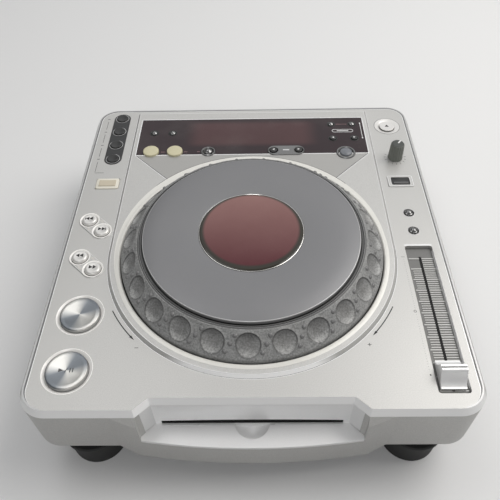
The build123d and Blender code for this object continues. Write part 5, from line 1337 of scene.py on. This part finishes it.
class PLAYER_OT_marks(bpy.types.Operator):
    """Printed marks: arrows, signs, ticks, dots and lines"""

    bl_idname = "player.marks"
    bl_label = "Marks"

    def execute(self, context):
        lift = sizes().mark_height / MM
        arrow_r, sign_r = 115.4, 118.2
        form = Form()

        def mark(outline, finish=0, more=0.0):
            form.raised(outline, PANEL_Z, lift + more, finish)

        def round_jog(radius, degrees):
            return polar(JOG, radius, math.radians(degrees))

        # A curved arrow with its sign at each side of the dial.
        for start, stop, sign_at, plus in ((209.6, 223.0, 228.1, False), (331.4, 318.6, 312.9, True)):
            mark(arc_bar(JOG, arrow_r, 0.75, start, stop, 20))
            tip = stop + (2.1 if stop > start else -2.1)
            ahead = Vector(round_jog(arrow_r, tip)) - Vector(round_jog(arrow_r, stop))
            place = round_jog(arrow_r, (stop + tip) / 2)
            mark(triangle(place, 4.4, 1.9, math.degrees(math.atan2(ahead.y, ahead.x))))
            x, y = round_jog(sign_r, sign_at)
            mark(dash(x, y, 1.3, 0.4))
            if plus:
                mark(dash(x, y, 1.3, 0.4, upright=True), more=0.005)
        # Line with four short dashes beside the loop keys, and its foot.
        line_x, foot = CASE_LOW.x + 11.7, FRONT_Y + 229.3
        dashes = [middle(f"loop_button_{number}")[1] for number in range(1, 5)]
        for y in dashes:
            mark(dash(line_x, y, 1.2, 0.6))
        for upper, under in zip(dashes, dashes[1:] + [foot - 3.0]):
            mark(bar((line_x, upper - 4.0), (line_x, max(under + 4.0, foot)), 0.35))
        mark(bar((line_x, foot), (line_x + 8.0, foot), 0.35))
        # Ticks round the foot of the speed knob.
        for k in range(11):
            mark(bar(*(polar(middle("speed_knob"), r, math.radians(150.0 + 24.0 * k)) for r in (8.2, 9.9)), 0.35))
        # Scale beside the fader: dots, a ring at its middle and a mark at either end.
        right, dots = CASE_HIGH.x, 48
        for k in range(dots + 1):
            mark(rounded(0.42, 0.42, 0.2, from_front(right - 35.6, 30.5 + k * 94.6 / dots), 2), 1)
        ring = ((0.0, -0.2), (0.3, -0.2), (0.3, lift), (0.0, lift))
        form.ring(from_front(right - 36.0, 76.9), 0.75, PANEL_Z, *ring, segments=24)
        mark(dash(*from_front(right - 36.0, 127.6), 1.4, 0.35), 1)
        mark(rounded(1.1, 1.1, 0.5, from_front(right - 35.4, 26.4), 3))
        trim("panel_marks", form, ["dark_print", "grey_print"], "black_plastic", 30.0)

        # Lines on the window: a stroke beside the recall keys, a pill, and short joins.
        form = Form()
        z, pill = WINDOW_HIGH.z, from_front(86.2, 283.4)
        stroke_x = 103.8
        form.raised(bar(from_front(stroke_x, 273.0), from_front(stroke_x, 294.0), 0.5), z, lift)
        for y in (272.2, 294.8):
            form.raised(rounded(1.5, 1.5, 0.75, from_front(stroke_x, y), 4), z, lift)
        form.band(growing(19.6, 4.0, 2.0, pill), -0.25, 0.25, z - 0.2, z + lift)
        form.raised(rounded(11.0, 1.0, 0.3, pill, 2), z, lift)
        for start, end, y, width in (
            (80.6, 91.2, 293.6, 0.4), (-84.0, -79.6, 254.8, 0.45), (-62.4, -59.4, 254.8, 0.45),
            (-50.4, -47.6, 254.8, 0.45),
        ):
            form.raised(bar(from_front(start, y), from_front(end, y), width), z, lift, 1)
        trim("window_marks", form, ["white_print", "pink_print"], "white_plastic", 30.0)
        return {"FINISHED"}


# ---- fader and knob
def rib_tree():
    """Geometry nodes that repeat a low rib along the tempo scale."""
    inputs = {"Count": "Int", "Pitch": "Float", "Start": "Vector", "Rib Size": "Vector", "Finish": "Material"}
    tree, given, end = new_tree("GeometryNodeTree", "scale_ribs", inputs, GEOMETRY)
    pitch = node(tree, "CombineXYZ", {1: given("Pitch")}, 0)
    inputs = {"Count": given("Count"), "Start Location": given("Start"), "Offset": pitch}
    line = node(tree, "GeometryNodeMeshLine", inputs, 0, mode="OFFSET")
    rib = node(tree, "GeometryNodeMeshCube", {"Size": given("Rib Size")}, 0)
    spread = node(tree, "GeometryNodeInstanceOnPoints", {"Points": line, "Instance": rib}, 0)
    return finished(tree, spread, given, end)


class PLAYER_OT_fader(bpy.types.Operator):
    """Ribbed tempo scale and the fader's knob"""

    bl_idname = "player.fader"
    bl_label = "Tempo fader"

    def execute(self, context):
        x, y = middle("fader_scale")
        pitch, tree = sizes().rib_pitch, rib_tree()
        first, last = 127.6, 16.0
        for side, name, width, longer in ((1, "right", 8.2, 0.8), (-1, "left", 6.5, 1.3)):
            skipped = 0 if side > 0 else 5
            for title, every, extra, thick, start in (("", 1, 0.0, 0.72, skipped), ("bold_", 5, longer, 0.9, 0)):
                label = f"{title}ribs_{name}"
                begin = start * pitch / MM
                at = (x + side * (1.0 + (width + extra) / 2), FRONT_Y + first - begin, SCALE_Z + 0.1 + extra * 0.05)
                made = grown(
                    label, tree, bpy.data.meshes.new(label + "_base"),
                    Count=int((first - last - begin) / (every * pitch / MM)) + 1, Pitch=-every * pitch,
                    Start=[c * MM for c in at], Rib_Size=((width + extra) * MM, thick * MM, 0.5 * MM),
                    Finish=surface("scale_rib"),
                )
                dress(label, made, ["scale_rib"], BODY_OF["fader_scale"], "grey_plate", (), 30.0)
        # A black strip laid over the fader's slot: painted shade for its dark opening.
        form = Form().raised(rounded(2.0, 105.0, 0.9, from_front(x, 77.0)), SCALE_Z, 0.06, sink=0.3)
        trim("fader_slot_edge", form, ["black_gap"], "black_plastic", 32.0)
        # The recess has a painted highlight line at its back, and a pale, sloped strip along its right wall that
        # paints light over the wall's shade.
        form = Form().raised(rounded(21.6, 1.5, 0.6, from_front(x, 139.7)), PANEL_Z, 0.05)
        wall = ((x + 10.2, SCALE_Z), (x + 10.8, SCALE_Z), (x + 10.8, PANEL_Z - 0.15), (x + 10.5, PANEL_Z - 0.15))
        form.loft([[(across, FRONT_Y + end, up) for across, up in wall] for end in (18.0, 135.0)], finish=1)
        trim("recess_edge", form, ["bright_edge", "recess_wall"], sharp=32.0)

        # The knob is a saddle with three bars on its ridge: a dark one in the middle and a painted highlight on each
        # side, and is the same on both sides.
        low, high = box("fader_knob")
        place = x, y = middle("fader_knob")
        half_w, half_l, round_off = (high.x - low.x) / 2, 10.2, 0.35
        foot, ridge = PANEL_Z - 1.6, high.z
        skirt = foot + 1.4
        half = [(-half_l, foot), (-half_l, skirt)]
        for t in (k / 12 for k in range(1, 13)):
            half.append((-half_l + (half_l - 2.8) * t, skirt + (ridge - 0.9 - foot - 1.4) * t**2.1))
        half += offsets(0.0, ridge, (-2.4, -0.35), (-1.9, 0.0), (-0.5, 0.0), (-0.45, -0.35))
        side = half + [(-a, b) for a, b in reversed(half)]
        outlines = []
        edge = half_w - round_off
        for off, inset in ((-half_w, round_off), (-edge, 0.0), (edge, 0.0), (half_w, round_off)):
            drop = [(a * (1 - inset / half_l), max(foot, b - (inset if b > foot + 0.1 else 0.0))) for a, b in side]
            outlines.append([(x + off, y + a, b) for a, b in drop])
        form = Form().loft(outlines)
        form.prism(rounded(2 * half_w - 0.8, 0.7, 0.1, place), ridge - 0.5, ridge - 0.2, 1)
        for sign in (-1, 1):
            form.raised(rounded(2 * half_w - 0.9, 1.3, 0.2, (x, y + sign * 1.2)), ridge, 0.04, 2)
        finishes = ["knob_face", "black_print", "bright_edge"]
        piece("tempo_knob", form, finishes, BODY_OF["fader_knob"], "silver_key", ["fader_knob"], 30.0)
        return {"FINISHED"}


class PLAYER_OT_speed_knob(bpy.types.Operator):
    """Fluted speed knob with its pointer"""

    bl_idname = "player.speed_knob"
    bl_label = "Speed knob"

    def execute(self, context):
        place = middle("speed_knob")
        top, foot = box("speed_knob")[1].z, PANEL_Z + 0.4
        flutes, steps = 18, 6
        dips = [(0.5 + 0.5 * math.cos(2 * math.pi * k / steps)) ** 1.5 for k in range(flutes * steps)]
        turn = 2 * math.pi / len(dips)
        rows = (
            (6.6, 0.0, foot), (6.6, 0.0, foot + 1.0), (6.5, 0.45, foot + 1.6), (6.05, 0.45, top - 2.0),
            (5.85, 0.35, top - 1.0), (5.4, 0.15, top - 0.35), (4.7, 0.0, top - 0.05), (3.6, 0.0, top),
        )
        outlines = [
            [(*polar(place, radius - depth * dip, turn * k), z) for k, dip in enumerate(dips)]
            for radius, depth, z in rows
        ]
        # The cap's rim is row 5: the darker top starts there.
        cap = 5
        form = Form().loft(outlines[: cap + 1])
        form.loft([[(x, y, z - 0.4) for x, y, z in outlines[cap]], *outlines[cap:]], finish=2)
        pointer = bar((place[0], place[1] + 0.6), (place[0], place[1] + 5.2), 1.25)
        form.raised(turned_about(pointer, place, -37.0), top, 0.06, 1, sink=0.3)
        finishes = ["knob_body", "white_print", "knob_top"]
        piece("speed_knob_cap", form, finishes, BODY_OF["speed_knob"], "dark_key", ["speed_knob"], 30.0)
        return {"FINISHED"}


class PLAYER_PT_panel(bpy.types.Panel):
    """Lists the player's pieces"""

    bl_idname = "PLAYER_PT_panel"
    bl_label = "Disc player"
    bl_space_type = "VIEW_3D"
    bl_region_type = "UI"
    bl_category = "Player"

    def draw(self, context):
        for operator in OPERATORS:
            self.layout.operator(operator.bl_idname)
        for settings in (context.scene.player_sizes, context.scene.player_colours):
            for name in settings.__annotations__:
                self.layout.prop(settings, name)


OPERATORS = (
    PLAYER_OT_stage, PLAYER_OT_case, PLAYER_OT_well, PLAYER_OT_seams, PLAYER_OT_grip, PLAYER_OT_touch_plate,
    PLAYER_OT_keys, PLAYER_OT_oblong_keys, PLAYER_OT_trims, PLAYER_OT_marks, PLAYER_OT_fader,
    PLAYER_OT_speed_knob,
)
CLASSES = (PlayerColours, PlayerSizes, *OPERATORS, PLAYER_PT_panel)


def register():
    for made in CLASSES:
        bpy.utils.register_class(made)
    bpy.types.Scene.player_colours = bpy.props.PointerProperty(type=PlayerColours)
    bpy.types.Scene.player_sizes = bpy.props.PointerProperty(type=PlayerSizes)


def unregister():
    del bpy.types.Scene.player_sizes
    del bpy.types.Scene.player_colours
    for made in reversed(CLASSES):
        bpy.utils.unregister_class(made)


def main():
    register()
    for operator in OPERATORS:
        family, action = operator.bl_idname.split(".")
        getattr(getattr(bpy.ops, family), action)()
    bpy.context.view_layer.update()


if __name__ == "__main__":
    main()
